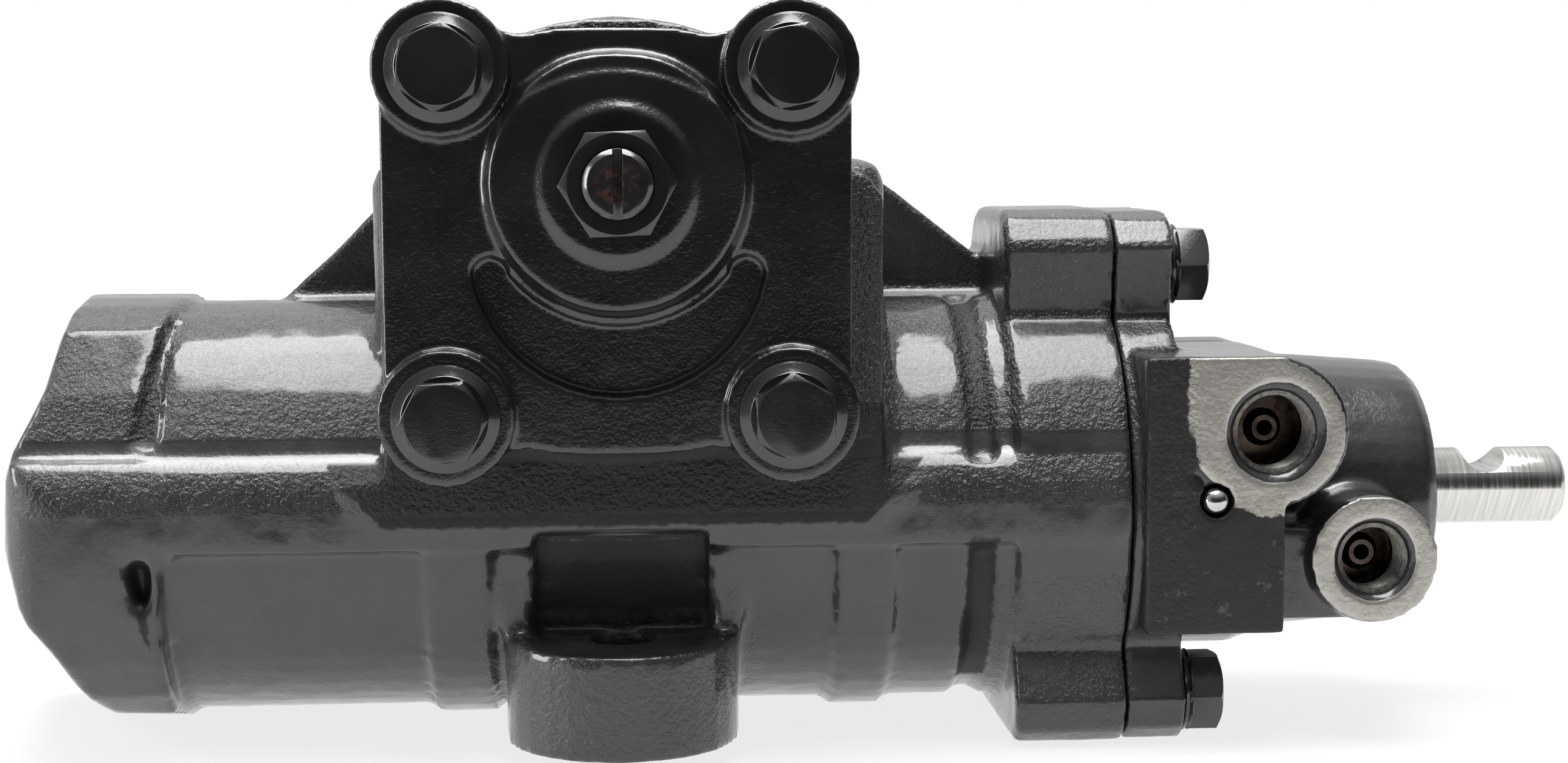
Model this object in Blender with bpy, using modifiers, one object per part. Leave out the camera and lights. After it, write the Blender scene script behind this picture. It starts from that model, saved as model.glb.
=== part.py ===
"""A recirculating-ball power steering gearbox, built piece by piece in metres.

X runs along the worm towards the input shaft, -Y faces the side cover and Z is up. Places are
measured from the point of the worm axis that lies below the sector shaft, and the empty
gearbox_frame moves them so that the part's own origin is the middle of its base.
"""

import math

import bmesh
import bpy
from mathutils import Euler, Vector

# Running lines and the steering ratio.
WORM_LEAD = 0.018
SECTOR_PITCH_RADIUS = 0.050
SECTOR_SWING = math.radians(38)

# Clearances between pieces.
SEAT_GAP = 0.0003
RUNNING_GAP = 0.0003
END_GAP = 0.003

# Sector and rack teeth.
TEETH_IN_CIRCLE = 16
SECTOR_TEETH = 5
PRESSURE_ANGLE = math.radians(25)
ADDENDUM = 0.0050
DEDENDUM = 0.0062
BACKLASH = 0.0004
WALL_UNDER_RACK = 0.00625
SECTOR_FACE = 0.044
SECTOR_HUB_RADIUS = 0.022

# Gear housing, along the worm.
BORE_RADIUS = 0.042
BORE_WALL = 0.0104
FLANGE_FACE_X = 0.1240
FLANGE_LENGTH = 0.0275
FLANGE_RADIUS = 0.0550
FLANGE_POINTS = 64
END_WALL = 0.0264
END_BLOCK_LENGTH = 0.0490
END_TAPER_HEIGHT = 0.0897
BAND_FRONT = 0.0565
BAND_TOP = 0.0170
BAND_BOTTOM = -0.0050
SADDLE_RISE = 0.0021
SADDLE = (-0.0470, -0.0320)
STEP_RING = (0.0525, 0.0660)
NECK_RING = (0.0843, 0.0917)
NECK_DEPTH = 0.0020

# Gear housing, round the sector shaft.
COVER_FACE_Y = -0.0580
COVER_DROP = 0.0138
COVER_OPENING_RADIUS = 0.0463
COVER_BOLT_WALL = 0.00453
TOWER_LEFT = 0.0600
TOWER_RIGHT = 0.0660
TOWER_RISE = 0.0053
TOWER_BACK = 0.0340
CHAMBER_HALF_DEPTH = 0.0260
HUB_TOWER_RADIUS = 0.0400
OUTPUT_BOSS_RADIUS = 0.0340
OUTPUT_BOSS_END = 0.0800
GUSSET_FRONT = 0.0080
GUSSET_THICKNESS = 0.0240

# Mounting lugs: the front one is in the photograph, the two rear ones carry the far side.
LUG_TOP = -0.0275
LUG_BASE = -0.0525
LUG_HOLE_RADIUS = 0.0075
FRONT_LUG_Y = -0.0470
FRONT_HOLE_Y = -0.0500
FRONT_LUG_RADIUS = 0.0282
REAR_LUG_Y = 0.0610
REAR_LUG_RADIUS = 0.0190
REAR_LUG_XS = (-0.0880, 0.0620)
RIB_TOP = (0.0245, 0.0335)
RIB_BOTTOM = (0.0215, 0.0280)
RIB_FRONT = -0.0510

# Side cover.
GASKET_THICKNESS = 0.0006
COVER_PLATE = 0.0072
COVER_SIDE_LAND = 0.0142
COVER_TOP_LAND = 0.0037
COVER_BOSS_RADIUS = 0.0162
COVER_BOSS_RISE = 0.0028
COVER_DISC_RADIUS = 0.0316
COVER_DISC_RISE = 0.0040
COVER_DISC_DRAFT = 0.0023
COVER_BROW_RADIUS = 0.0446
COVER_BROW_TOP_RADIUS = 0.0396
COVER_BROW_STEP = 0.0009
NUT_BOSS_RADIUS = 0.0170
NUT_BOSS_RISE = 0.0016
NUT_BOSS_SLOPE = 1.6
CRESCENT_RADIUS = 0.0350
CRESCENT_TIP_RADIUS = 0.00455
CRESCENT_DEPTH = 0.0045
SPIGOT_DEPTH = 0.0040
BUSH_HOUSING_WALL = 0.0070

# Sector shaft, front to back.
FRONT_JOURNAL_RADIUS = 0.0160
FRONT_JOURNAL_END = -0.0530
REAR_JOURNAL_RADIUS = 0.0190
REAR_JOURNAL_END = 0.0580
SEAL_JOURNAL_RADIUS = 0.0186
SPLINE_START = 0.0830
SPLINE_LENGTH = 0.0250
SPLINE_TEETH = 30
SPLINE_DEPTH = 0.0010
OUTPUT_THREAD_RADIUS = 0.0120
OUTPUT_THREAD_LENGTH = 0.0200
PITMAN_NUT_FLATS = 0.0360
PITMAN_NUT_LENGTH = 0.0150
LOCK_WASHER_THICKNESS = 0.0030
LOCK_WASHER_RADIUS = 0.0190

# Bearings and seals round the sector shaft.
BUSH_WALL = 0.0034
REAR_BEARING_WALL = 0.0047
REAR_BEARING_LENGTH = 0.0290
OIL_SEAL_LENGTH = 0.0080
SNAP_RING_LENGTH = 0.0012
SNAP_GROOVE_DEPTH = 0.0015
DUST_SEAL_LENGTH = 0.0080

# Lash adjuster in the side cover.
ADJUSTER_RADIUS = 0.0080
ADJUSTER_HEAD_RADIUS = 0.0110
ADJUSTER_HEAD_LENGTH = 0.0057
ADJUSTER_TIP_Y = -0.0900
ADJUSTER_SLOT_WIDTH = 0.0022
ADJUSTER_SLOT_DEPTH = 0.0025
SHIM_THICKNESS = 0.0012
SLOT_ROOF = 0.0065
LOCK_NUT_FLATS = 0.0236
LOCK_NUT_LENGTH = 0.0112

# Bolts.
BOLT_RADIUS = 0.0060
COVER_BOLT_FLATS = 0.0180
COVER_BOLT_HEAD = 0.0078
COVER_BOLT_FLANGE_RADIUS = 0.0128
COVER_BOLT_GRIP = 0.0180
VALVE_BOLT_FLATS = 0.0180
VALVE_BOLT_HEAD = 0.0079
VALVE_BOLT_FLANGE_RADIUS = 0.0104
VALVE_BOLT_GRIP = 0.0200
BOLT_FLANGE = 0.0022
VALVE_BOLT_TOP = (0.0186, 0.0607)
VALVE_BOLT_LOW = (0.0384, -0.0454)
VALVE_BOSS_TOP_RADIUS = 0.0137
VALVE_BOSS_LOW_RADIUS = 0.0120

# Valve housing.
VALVE_FLANGE = 0.0145
SPIGOT_LENGTH = 0.0120
BARREL_END_X = 0.2082
BARREL_RADIUS = 0.0405
BARREL_NECK_RADIUS = 0.0360
BARREL_END_RADIUS = 0.0335
BARREL_SHOULDER_X = 0.1580
BARREL_NECK_X = 0.1720
BARREL_CHAMFER = 0.0035
PORT_FACE_Y = -0.0580
PORT_BLOCK_LEFT = 0.1267
PORT_BLOCK_RIGHT = 0.1610
PORT_BLOCK_TOP = 0.0400
PORT_BLOCK_BOTTOM = -0.0280
UPPER_PORT = (0.1584, 0.0214)
UPPER_PORT_BOSS_RADIUS = 0.0183
UPPER_PORT_RADIUS = 0.0100
UPPER_PORT_MOUTH_RADIUS = 0.0127
LOWER_PORT = (0.1842, -0.0105)
LOWER_PORT_FACE_Y = -0.0550
LOWER_PORT_BOSS_RADIUS = 0.0159
LOWER_PORT_RADIUS = 0.0086
LOWER_PORT_MOUTH_RADIUS = 0.0103
PORT_DEPTH = 0.0170
PORT_MOUTH_DEPTH = 0.0022
PASSAGE_RADIUS = 0.0035
SEAT_LENGTH = 0.0050
SEAT_NIPPLE_RADIUS = 0.0048
SEAT_HOLE_RADIUS = 0.0020
BALL_PLUG = (0.1440, 0.0048)
BALL_PLUG_RADIUS = 0.00375
KEY_NOTCH_LENGTH = 0.0085
KEY_NOTCH_WIDTH = 0.0030
KEY_NOTCH_DEPTH = 0.0010
SEAL_SECTION = 0.0022
SEAL_X = 0.1190

# Worm, rotary valve and input shaft.
WORM_RADIUS = 0.0154
WORM_LEFT_X = -0.0420
TRACK_START_X = -0.0160
TRACK_END_X = 0.0840
BALL_RADIUS = 0.0035
BALL_PITCH_RADIUS = 0.0160
BALL_COUNT = 10
BALL_SPACING = 0.00735
BALL_START_X = 0.0250
TRACK_RADIUS = 0.00425
TRACK_STEPS = 16
COLLAR_RADIUS = 0.0255
COLLAR_LENGTH = 0.0050
THRUST_BEARING_LENGTH = 0.0026
RETAINER_LENGTH = 0.0044
RETAINER_RADIUS = 0.0300
VALVE_NECK_RADIUS = 0.0150
COUPLING_RADIUS = 0.0200
COUPLING_LENGTH = 0.0054
SLEEVE_RADIUS = 0.0237
SLEEVE_BORE_RADIUS = 0.0153
SLEEVE_RING_DEPTH = 0.0012
SLEEVE_RING_LENGTH = 0.0020
SPOOL_RADIUS = 0.0150
SPOOL_SLOTS = 6
SPOOL_SLOT_DEPTH = 0.0018
TANG_HALF_WIDTH = 0.0050
TANG_SLOT_HALF_WIDTH = 0.0063
TANG_REACH = 0.0090
STUB_JOURNAL_RADIUS = 0.0120
STUB_RADIUS = 0.0101
STUB_END_X = 0.2498
STUB_CHAMFER = 0.0016
FLAT_DEPTH = 0.0016
FLAT_TILT = math.radians(34)
NOTCH_X = 0.2285
NOTCH_RADIUS = 0.0060
NOTCH_HEIGHT = 0.0104
NEEDLE_BEARING_LENGTH = 0.0104
NEEDLE_BEARING_WALL = 0.0037
INPUT_SEAL_LENGTH = 0.0060
INPUT_SEAL_RADIUS = 0.0177
INPUT_DUST_LENGTH = 0.0021
TORSION_BAR_RADIUS = 0.0040
TORSION_BAR_WAIST = 0.0030
TORSION_BAR_LEFT_X = 0.0880
TORSION_BAR_PAST_SLEEVE = 0.0080
PIN_RADIUS = 0.0015
TWIST_CLEARANCE = 0.0005
WORM_PIN_X = 0.0940
STUB_PIN_PAST_SLEEVE = 0.0016

# Rack piston and the ball return.
PISTON_LEFT_X = -0.0960
PISTON_RIGHT_X = 0.0740
PISTON_BORE_RADIUS = 0.0162
PISTON_BORE_END_X = -0.0780
PISTON_RING_X = -0.0880
PISTON_RING_LENGTH = 0.0040
PISTON_RING_DEPTH = 0.0030
NUT_TRACK_START_X = 0.0120
NUT_TRACK_END_X = 0.0560
GUIDE_LEG_XS = (0.0180, 0.0500)
GUIDE_RADIUS = 0.0037
GUIDE_FLOOR = -0.0295
GUIDE_POCKET_HALF_WIDTH = 0.0125
CLAMP_THICKNESS = 0.0012
CLAMP_SCREW_Y = 0.0092
CLAMP_SCREW_RADIUS = 0.0020
CLAMP_SCREW_HEAD_RADIUS = 0.0031

# What follows from the sizes above.
MODULE = 2 * SECTOR_PITCH_RADIUS / TEETH_IN_CIRCLE
TOOTH_PITCH = math.pi * MODULE
RACK_HEIGHT = BALL_PITCH_RADIUS + TRACK_RADIUS + WALL_UNDER_RACK + DEDENDUM
SECTOR_HEIGHT = RACK_HEIGHT + SECTOR_PITCH_RADIUS
PISTON_TRAVEL = SECTOR_PITCH_RADIUS * SECTOR_SWING
PISTON_RADIUS = BORE_RADIUS - RUNNING_GAP
BORE_END_X = PISTON_LEFT_X - PISTON_TRAVEL - END_GAP
HOUSING_RADIUS = BORE_RADIUS + BORE_WALL
HOUSING_END_X = BORE_END_X - END_WALL
END_BLOCK_X = HOUSING_END_X + END_BLOCK_LENGTH
CHAMBER_RADIUS = SECTOR_PITCH_RADIUS + ADDENDUM + 2 * RUNNING_GAP
COVER_CENTRE_HEIGHT = SECTOR_HEIGHT - COVER_DROP
COVER_BOLT_HALF_PITCH = (COVER_OPENING_RADIUS + BOLT_RADIUS + SEAT_GAP + COVER_BOLT_WALL) / math.sqrt(2)
COVER_HALF_WIDTH = COVER_BOLT_HALF_PITCH + COVER_SIDE_LAND
COVER_TOP_REACH = COVER_OPENING_RADIUS + COVER_TOP_LAND
TOWER_TOP = SECTOR_HEIGHT + TOWER_RISE
COVER_BACK_Y = COVER_FACE_Y - GASKET_THICKNESS - 2 * SEAT_GAP
COVER_PLATE_Y = COVER_BACK_Y - COVER_PLATE
COVER_DISC_Y = COVER_PLATE_Y - COVER_DISC_RISE
COVER_BOSS_Y = COVER_PLATE_Y - COVER_BOSS_RISE
NUT_SEAT_Y = COVER_DISC_Y - NUT_BOSS_RISE
BUSH_RADIUS = FRONT_JOURNAL_RADIUS + RUNNING_GAP + BUSH_WALL
COVER_BORE_RADIUS = BUSH_RADIUS + SEAT_GAP
REAR_BORE_RADIUS = REAR_JOURNAL_RADIUS + RUNNING_GAP + REAR_BEARING_WALL + SEAT_GAP
SLOT_FLOOR_Y = FRONT_JOURNAL_END + SLOT_ROOF + ADJUSTER_HEAD_LENGTH + SHIM_THICKNESS + 3 * SEAT_GAP
OUTPUT_END_Y = SPLINE_START + SPLINE_LENGTH + OUTPUT_THREAD_LENGTH
VALVE_FACE_X = FLANGE_FACE_X + SEAT_GAP
VALVE_SEAT_X = VALVE_FACE_X + VALVE_FLANGE
SPIGOT_START_X = VALVE_FACE_X - SPIGOT_LENGTH
RETAINER_X = SPIGOT_START_X + SEAT_GAP
LEFT_THRUST_X = RETAINER_X + RETAINER_LENGTH + SEAT_GAP
COLLAR_X = LEFT_THRUST_X + THRUST_BEARING_LENGTH + SEAT_GAP
RIGHT_THRUST_X = COLLAR_X + COLLAR_LENGTH + SEAT_GAP
SLEEVE_BORE_X = RIGHT_THRUST_X + THRUST_BEARING_LENGTH + SEAT_GAP
COUPLING_X = SLEEVE_BORE_X + 6 * SEAT_GAP
COUPLING_END_X = COUPLING_X + COUPLING_LENGTH
SLEEVE_OUTER_BORE = SLEEVE_RADIUS + RUNNING_GAP
STUB_BEARING_RADIUS = STUB_JOURNAL_RADIUS + RUNNING_GAP + NEEDLE_BEARING_WALL
INPUT_DUST_X = BARREL_END_X - INPUT_DUST_LENGTH
INPUT_RING_X = INPUT_DUST_X - SEAT_GAP - SNAP_RING_LENGTH
INPUT_SEAL_X = INPUT_RING_X - SEAT_GAP - INPUT_SEAL_LENGTH
NEEDLE_BEARING_X = INPUT_SEAL_X - 2 * SEAT_GAP - NEEDLE_BEARING_LENGTH
SLEEVE_BORE_END_X = NEEDLE_BEARING_X - SEAT_GAP
SLEEVE_END_X = SLEEVE_BORE_END_X - END_GAP
TORSION_BAR_RIGHT_X = SLEEVE_END_X + TORSION_BAR_PAST_SLEEVE
STUB_PIN_X = SLEEVE_END_X + STUB_PIN_PAST_SLEEVE
TRACK_ANGLE_PER_METRE = 2 * math.pi / WORM_LEAD
BASE_HEIGHT = VALVE_BOLT_LOW[1] - VALVE_BOSS_LOW_RADIUS
FRAME_SHIFT = (-(HOUSING_END_X + STUB_END_X) / 2, -(ADJUSTER_TIP_Y + OUTPUT_END_Y) / 2, -BASE_HEIGHT)

# How a local Z axis is turned: towards the cover, along the worm, or left upright.
TOWARDS_COVER = Euler((math.pi / 2, 0, 0))
ALONG_WORM = Euler((math.pi / 2, 0, math.pi / 2))
UPRIGHT = Euler((0, 0, 0))


def clear_scene():
    for obj in list(bpy.data.objects):
        bpy.data.objects.remove(obj, do_unlink=True)


def new_collection(name):
    collection = bpy.data.collections.new(name)
    bpy.context.scene.collection.children.link(collection)
    return collection


clear_scene()
PARTS = new_collection("steering_gearbox")
CUTTERS = new_collection("cutters")


def empty(name, place, parent=None):
    """A joint axis or frame; `place` is measured from the worm axis below the sector shaft."""
    obj = bpy.data.objects.new(name, None)
    PARTS.objects.link(obj)
    obj.parent = parent
    obj.location = Vector(place)
    obj.empty_display_size = 0.02
    return obj


FRAME = empty("gearbox_frame", FRAME_SHIFT)
WORM_AXIS = empty("worm_axis", (0, 0, 0), FRAME)
INPUT_AXIS = empty("input_axis", (0, 0, 0), FRAME)
PISTON_LINE = empty("piston_line", (0, 0, 0), FRAME)
SECTOR_AXIS = empty("sector_axis", (0, 0, SECTOR_HEIGHT), FRAME)


def material(name, colour, roughness, metallic):
    made = bpy.data.materials.get(name) or bpy.data.materials.new(name)
    made.use_nodes = True
    shader = made.node_tree.nodes["Principled BSDF"]
    shader.inputs["Base Color"].default_value = (*colour, 1)
    shader.inputs["Roughness"].default_value = roughness
    shader.inputs["Metallic"].default_value = metallic
    return made


def housing_paint():
    return material("housing_paint", (0.020, 0.020, 0.021), 0.38, 0.0)


def cover_paint():
    return material("cover_paint", (0.010, 0.010, 0.011), 0.28, 0.0)


def painted_steel():
    return material("painted_steel", (0.018, 0.018, 0.019), 0.32, 0.2)


def bright_steel():
    return material("bright_steel", (0.72, 0.71, 0.69), 0.25, 1.0)


def gear_steel():
    return material("gear_steel", (0.42, 0.42, 0.43), 0.35, 1.0)


def bearing_steel():
    return material("bearing_steel", (0.60, 0.60, 0.62), 0.20, 1.0)


def bronze():
    return material("bronze", (0.55, 0.38, 0.18), 0.35, 1.0)


def brass():
    return material("brass", (0.62, 0.46, 0.24), 0.30, 1.0)


def seal_rubber():
    return material("seal_rubber", (0.015, 0.015, 0.015), 0.65, 0.0)


def gasket_fibre():
    return material("gasket_fibre", (0.10, 0.11, 0.10), 0.85, 0.0)


def ring_plastic():
    return material("ring_plastic", (0.08, 0.14, 0.13), 0.45, 0.0)


def place(obj, where, turn=UPRIGHT, parent=None):
    """Puts an object at a place of the gearbox frame, under the axis that it belongs to."""
    obj.parent = parent or FRAME
    obj.location = Vector(where)
    if obj.parent != FRAME:
        obj.location -= obj.parent.location
    obj.rotation_euler = turn
    return obj


def add_mesh(name, mesh, cutter=False):
    obj = bpy.data.objects.new(name, mesh)
    if cutter:
        CUTTERS.objects.link(obj)
        obj.hide_render = True
        obj.display_type = "WIRE"
    else:
        PARTS.objects.link(obj)
    return obj


def mesh_of(name, build):
    """A mesh filled in by `build`, which gets an empty bmesh."""
    mesh = bpy.data.meshes.new(name)
    work = bmesh.new()
    build(work)
    bmesh.ops.recalc_face_normals(work, faces=work.faces)
    work.to_mesh(mesh)
    work.free()
    return mesh


def cylinder(name, radius, length, end_radius=None, steps=32, cutter=True):
    """A cylinder or cone on local Z, from 0 to `length`."""
    def build(work):
        bmesh.ops.create_cone(work, cap_ends=True, segments=steps, radius1=radius,
                              radius2=radius if end_radius is None else end_radius, depth=length)
        bmesh.ops.translate(work, verts=work.verts, vec=(0, 0, length / 2))
    return add_mesh(name, mesh_of(name, build), cutter)


def box(name, low, high, cutter=True):
    """A box between two corners of the gearbox frame, with its origin at its middle."""
    low, high = Vector(low), Vector(high)

    def build(work):
        bmesh.ops.create_cube(work, size=1)
        bmesh.ops.scale(work, verts=work.verts, vec=high - low)
    obj = add_mesh(name, mesh_of(name, build), cutter)
    return place(obj, (low + high) / 2)


def bevelled(obj, width, steps=2):
    bevel = obj.modifiers.new("edge_radius", "BEVEL")
    bevel.width = width
    bevel.segments = steps
    return obj


def turned(name, profile, steps=32, closed=False, cutter=False):
    """A solid of revolution on local Z. `profile` holds (height, radius) pairs, top first."""
    mesh = bpy.data.meshes.new(name)
    points = [(radius, 0, height) for height, radius in profile]
    edges = [(i, i + 1) for i in range(len(points) - 1)]
    if closed:
        edges.append((len(points) - 1, 0))
    mesh.from_pydata(points, edges, [])
    obj = add_mesh(name, mesh, cutter)
    screw = obj.modifiers.new("turn", "SCREW")
    screw.steps = screw.render_steps = steps
    screw.use_merge_vertices = True
    screw.merge_threshold = 0.00001
    screw.use_smooth_shade = True
    return obj


def ring(name, inner, outer, length, steps=24, cutter=False):
    """A plain ring on local Z, from 0 to `length`."""
    profile = [(length, outer), (0, outer), (0, inner), (length, inner)]
    return turned(name, profile, steps, closed=True, cutter=cutter)


def plate(name, outline, thickness, cutter=True):
    """A flat outline in local X and Y, `thickness` deep on both sides together."""
    curve = bpy.data.curves.new(name, "CURVE")
    curve.dimensions = "2D"
    curve.fill_mode = "BOTH"
    curve.extrude = thickness / 2
    spline = curve.splines.new("POLY")
    spline.points.add(len(outline) - 1)
    for point, (x, y) in zip(spline.points, outline):
        point.co = (x, y, 0, 1)
    spline.use_cyclic_u = True
    return curve_to_mesh(name, curve, cutter)


def curve_to_mesh(name, curve, cutter):
    """The curve's solid as a mesh object, with its caps welded to its sides."""
    guide = bpy.data.objects.new(name + "_curve", curve)
    CUTTERS.objects.link(guide)
    bpy.context.view_layer.update()
    graph = bpy.context.evaluated_depsgraph_get()
    mesh = bpy.data.meshes.new_from_object(guide.evaluated_get(graph))
    bpy.data.objects.remove(guide)
    work = bmesh.new()
    work.from_mesh(mesh)
    bmesh.ops.remove_doubles(work, verts=work.verts, dist=0.000001)
    bmesh.ops.recalc_face_normals(work, faces=work.faces)
    work.to_mesh(mesh)
    work.free()
    mesh.materials.clear()
    return add_mesh(name, mesh, cutter)


def tube_along(name, points, radius, sides, cutter):
    """A round bar along the points. `sides` is even."""
    curve = bpy.data.curves.new(name, "CURVE")
    curve.dimensions = "3D"
    curve.bevel_depth = radius
    curve.bevel_resolution = sides // 2 - 2
    curve.use_fill_caps = True
    curve.twist_mode = "MINIMUM"
    spline = curve.splines.new("POLY")
    spline.points.add(len(points) - 1)
    for point, co in zip(spline.points, points):
        point.co = (*co, 1)
    return curve_to_mesh(name, curve, cutter)


def loft(name, rings, cutter=True):
    """A solid through rings of equally many points, closed by its first and last ring."""
    def build(work):
        made = [[work.verts.new(point) for point in ring_points] for ring_points in rings]
        for low, high in zip(made, made[1:]):
            for i in range(len(low)):
                j = (i + 1) % len(low)
                work.faces.new((low[i], low[j], high[j], high[i]))
        work.faces.new(made[0])
        work.faces.new(made[-1])
    return add_mesh(name, mesh_of(name, build), cutter)


def joined(obj, *others):
    return with_boolean(obj, "UNION", others)


def cut(obj, *others):
    return with_boolean(obj, "DIFFERENCE", others)


def with_boolean(obj, operation, others):
    for other in others:
        boolean = obj.modifiers.new(other.name, "BOOLEAN")
        boolean.operation = operation
        boolean.solver = "EXACT"
        boolean.object = other
    return obj


def finished(obj, surface):
    """Gives the piece its material, on its mesh so that joined forms share it."""
    obj.data.materials.clear()
    obj.data.materials.append(surface)
    for modifier in obj.modifiers:
        if modifier.type == "BOOLEAN" and modifier.object.type == "MESH":
            modifier.object.data.materials.clear()
            modifier.object.data.materials.append(surface)
    return obj


def arc(centre, radius, start, end, steps):
    """Points of an arc between two angles in degrees."""
    angles = [math.radians(start + (end - start) * i / steps) for i in range(steps + 1)]
    return [(centre[0] + radius * math.cos(a), centre[1] + radius * math.sin(a)) for a in angles]


def rounded_rectangle(left, right, low, high, radius, steps):
    corners = (((right - radius, high - radius), 0), ((left + radius, high - radius), 90),
               ((left + radius, low + radius), 180), ((right - radius, low + radius), 270))
    return [point for centre, start in corners
            for point in arc(centre, radius, start, start + 90, steps)]


def hexagon(flats, turn=0.0):
    corner = flats / 2 / math.cos(math.pi / 6)
    return [(corner * math.cos(turn + math.pi / 3 * i), corner * math.sin(turn + math.pi / 3 * i))
            for i in range(6)]


def crosswise(name, radius, x, z, front, back, steps=32, cutter=True):
    """A cylinder that runs along Y, from `front` to `back`."""
    return place(cylinder(name, radius, back - front, steps=steps, cutter=cutter), (x, back, z),
                 TOWARDS_COVER)


def lengthwise(name, radius, y, z, left, right, steps=32, cutter=True):
    """A cylinder that runs along X, from `left` to `right`."""
    return place(cylinder(name, radius, right - left, steps=steps, cutter=cutter), (left, y, z),
                 ALONG_WORM)


def upright(name, radius, x, y, low, high, steps=32, cutter=True):
    return place(cylinder(name, radius, high - low, steps=steps, cutter=cutter), (x, y, low))


def front_plate(name, outline, front, back, cutter=True):
    """An outline drawn in X and Z, as deep as from `front` to `back` along Y."""
    obj = plate(name, outline, back - front, cutter)
    return place(obj, (0, (front + back) / 2, 0), TOWARDS_COVER)


def side_plate(name, outline, left, right, cutter=True):
    """An outline drawn in Y and Z, as wide as from `left` to `right` along X."""
    obj = plate(name, outline, right - left, cutter)
    return place(obj, ((left + right) / 2, 0, 0), ALONG_WORM)


def cover_outline(grow=0.0, arch=0.0):
    """The cover's edge: straight sides, four round corners and a low arch at top and bottom."""
    pitch, radius = COVER_BOLT_HALF_PITCH, COVER_BOSS_RADIUS + grow
    side = COVER_HALF_WIDTH + grow
    start = -math.degrees(math.acos((side - pitch) / radius))
    valley = COVER_TOP_REACH - 0.0021 + grow + arch / 2
    crown = COVER_TOP_REACH + grow + arch
    corner = arc((pitch, pitch), radius, start, 148, 7)
    edge = [(0.0215, valley), (0.0140, (valley + 2 * crown) / 3), (0.0070, crown - 0.0004)]
    quarter = corner + edge
    upper = quarter + [(-x, z) for x, z in reversed(quarter)]
    whole = upper + [(-x, -z) for x, z in upper]
    return [(x, z + COVER_CENTRE_HEIGHT) for x, z in whole]


def cover_bolt_places():
    pitch = COVER_BOLT_HALF_PITCH
    return [(side * pitch, COVER_CENTRE_HEIGHT + level * pitch)
            for level in (1, -1) for side in (-1, 1)]


def valve_bolt_places():
    """(y, z, boss radius) of the four bolts that hold the valve housing."""
    corners = ((*VALVE_BOLT_TOP, VALVE_BOSS_TOP_RADIUS), (*VALVE_BOLT_LOW, VALVE_BOSS_LOW_RADIUS))
    return [(side * y, z, radius) for y, z, radius in corners for side in (-1, 1)]


def flange_outline(grow=0.0):
    """The flange that both housings share, in Y and Z: a round body, four bosses, flats between them."""
    circles = [(0, 0, FLANGE_RADIUS)] + valve_bolt_places()
    flats = ((1, *VALVE_BOLT_TOP, VALVE_BOSS_TOP_RADIUS), (-1, *VALVE_BOLT_LOW, VALVE_BOSS_LOW_RADIUS))
    points = []
    for i in range(FLANGE_POINTS):
        angle = 2 * math.pi * (i + 0.5) / FLANGE_POINTS
        along, up = math.cos(angle), math.sin(angle)
        reaches = []
        for y, z, radius in circles:
            offset = y * up - z * along
            if abs(offset) < radius:
                reaches.append(y * along + z * up + math.sqrt(radius ** 2 - offset ** 2))
        reach = max(reaches) + grow
        on_flat = any(side * up > 0 and abs((z + side * radius) * along / up) < y
                      for side, y, z, radius in flats)
        if not on_flat:
            points.append((reach * along, reach * up))
    return points


def end_block():
    """The closed end: squarer than the barrel, with a sloping upper front and a drawn-in end."""
    top, front = HOUSING_RADIUS + 0.0012, BAND_FRONT + 0.0002
    section = arc((top - 0.040, top - 0.040), 0.040, 0, 90, 5)
    section += [(-0.004, top), (-0.016, top - 0.0014), (-0.030, top - 0.0065), (-0.0425, BAND_TOP + 0.0150),
                (0.0085 - front, BAND_TOP + 0.0012), (0.0048 - front, BAND_TOP - 0.0003),
                (0.0022 - front, BAND_TOP - 0.0030), (0.0006 - front, BAND_TOP - 0.0070),
                (-front, BAND_TOP - 0.0110)]
    section += arc((0.044 - front, 0.044 - top), 0.044, 180, 270, 6)
    section += arc((top - 0.040, 0.040 - top), 0.040, 270, 360, 5)
    low, high = HOUSING_END_X, END_BLOCK_X
    block = side_plate("end_block", section, low, high)
    plan = [(high + 0.01, -0.070), (low + 0.0251, -0.070), (low + 0.0251, 0.0004 - BAND_FRONT)]
    plan += arc((low + 0.0251, 0.0150 - BAND_FRONT), 0.0148, 262, 186, 5)
    plan += arc((low + 0.0240, top - 0.0300), 0.0238, 172, 100, 5)
    plan += [(low + 0.0240, 0.070), (high + 0.01, 0.070)]
    above = place(plate("end_block_plan", plan, 0.17), (0, 0, 0))
    return with_boolean(block, "INTERSECT", [end_taper(), above])


def end_taper():
    """What the closed end tapers to in X and Z: its outline shrinks towards the front as the mould draws."""
    outline = [
        (-0.0900, 0.0800), (-0.1275, 0.0575), (-0.1295, 0.0552), (-0.1340, 0.0510), (-0.1372, 0.0443),
        (-0.1413, 0.0323), (-0.1452, 0.0248), (-0.1499, 0.0165), (-0.1519, 0.0098),
        (-0.1525, -0.0077), (-0.1497, -0.0223), (-0.1477, -0.0269), (-0.1412, -0.0347),
        (-0.1369, -0.0410), (-0.1326, -0.0457), (-0.1267, -0.0492), (-0.0900, -0.0504)
    ]
    rings = []
    for y in (0.070, -0.070):
        size = (y + 0.638) / 0.613
        rings.append([(x * size, y, END_TAPER_HEIGHT + (z - END_TAPER_HEIGHT) * size) for x, z in outline])
    return place(loft("end_taper", rings), (0, 0, 0))


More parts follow.
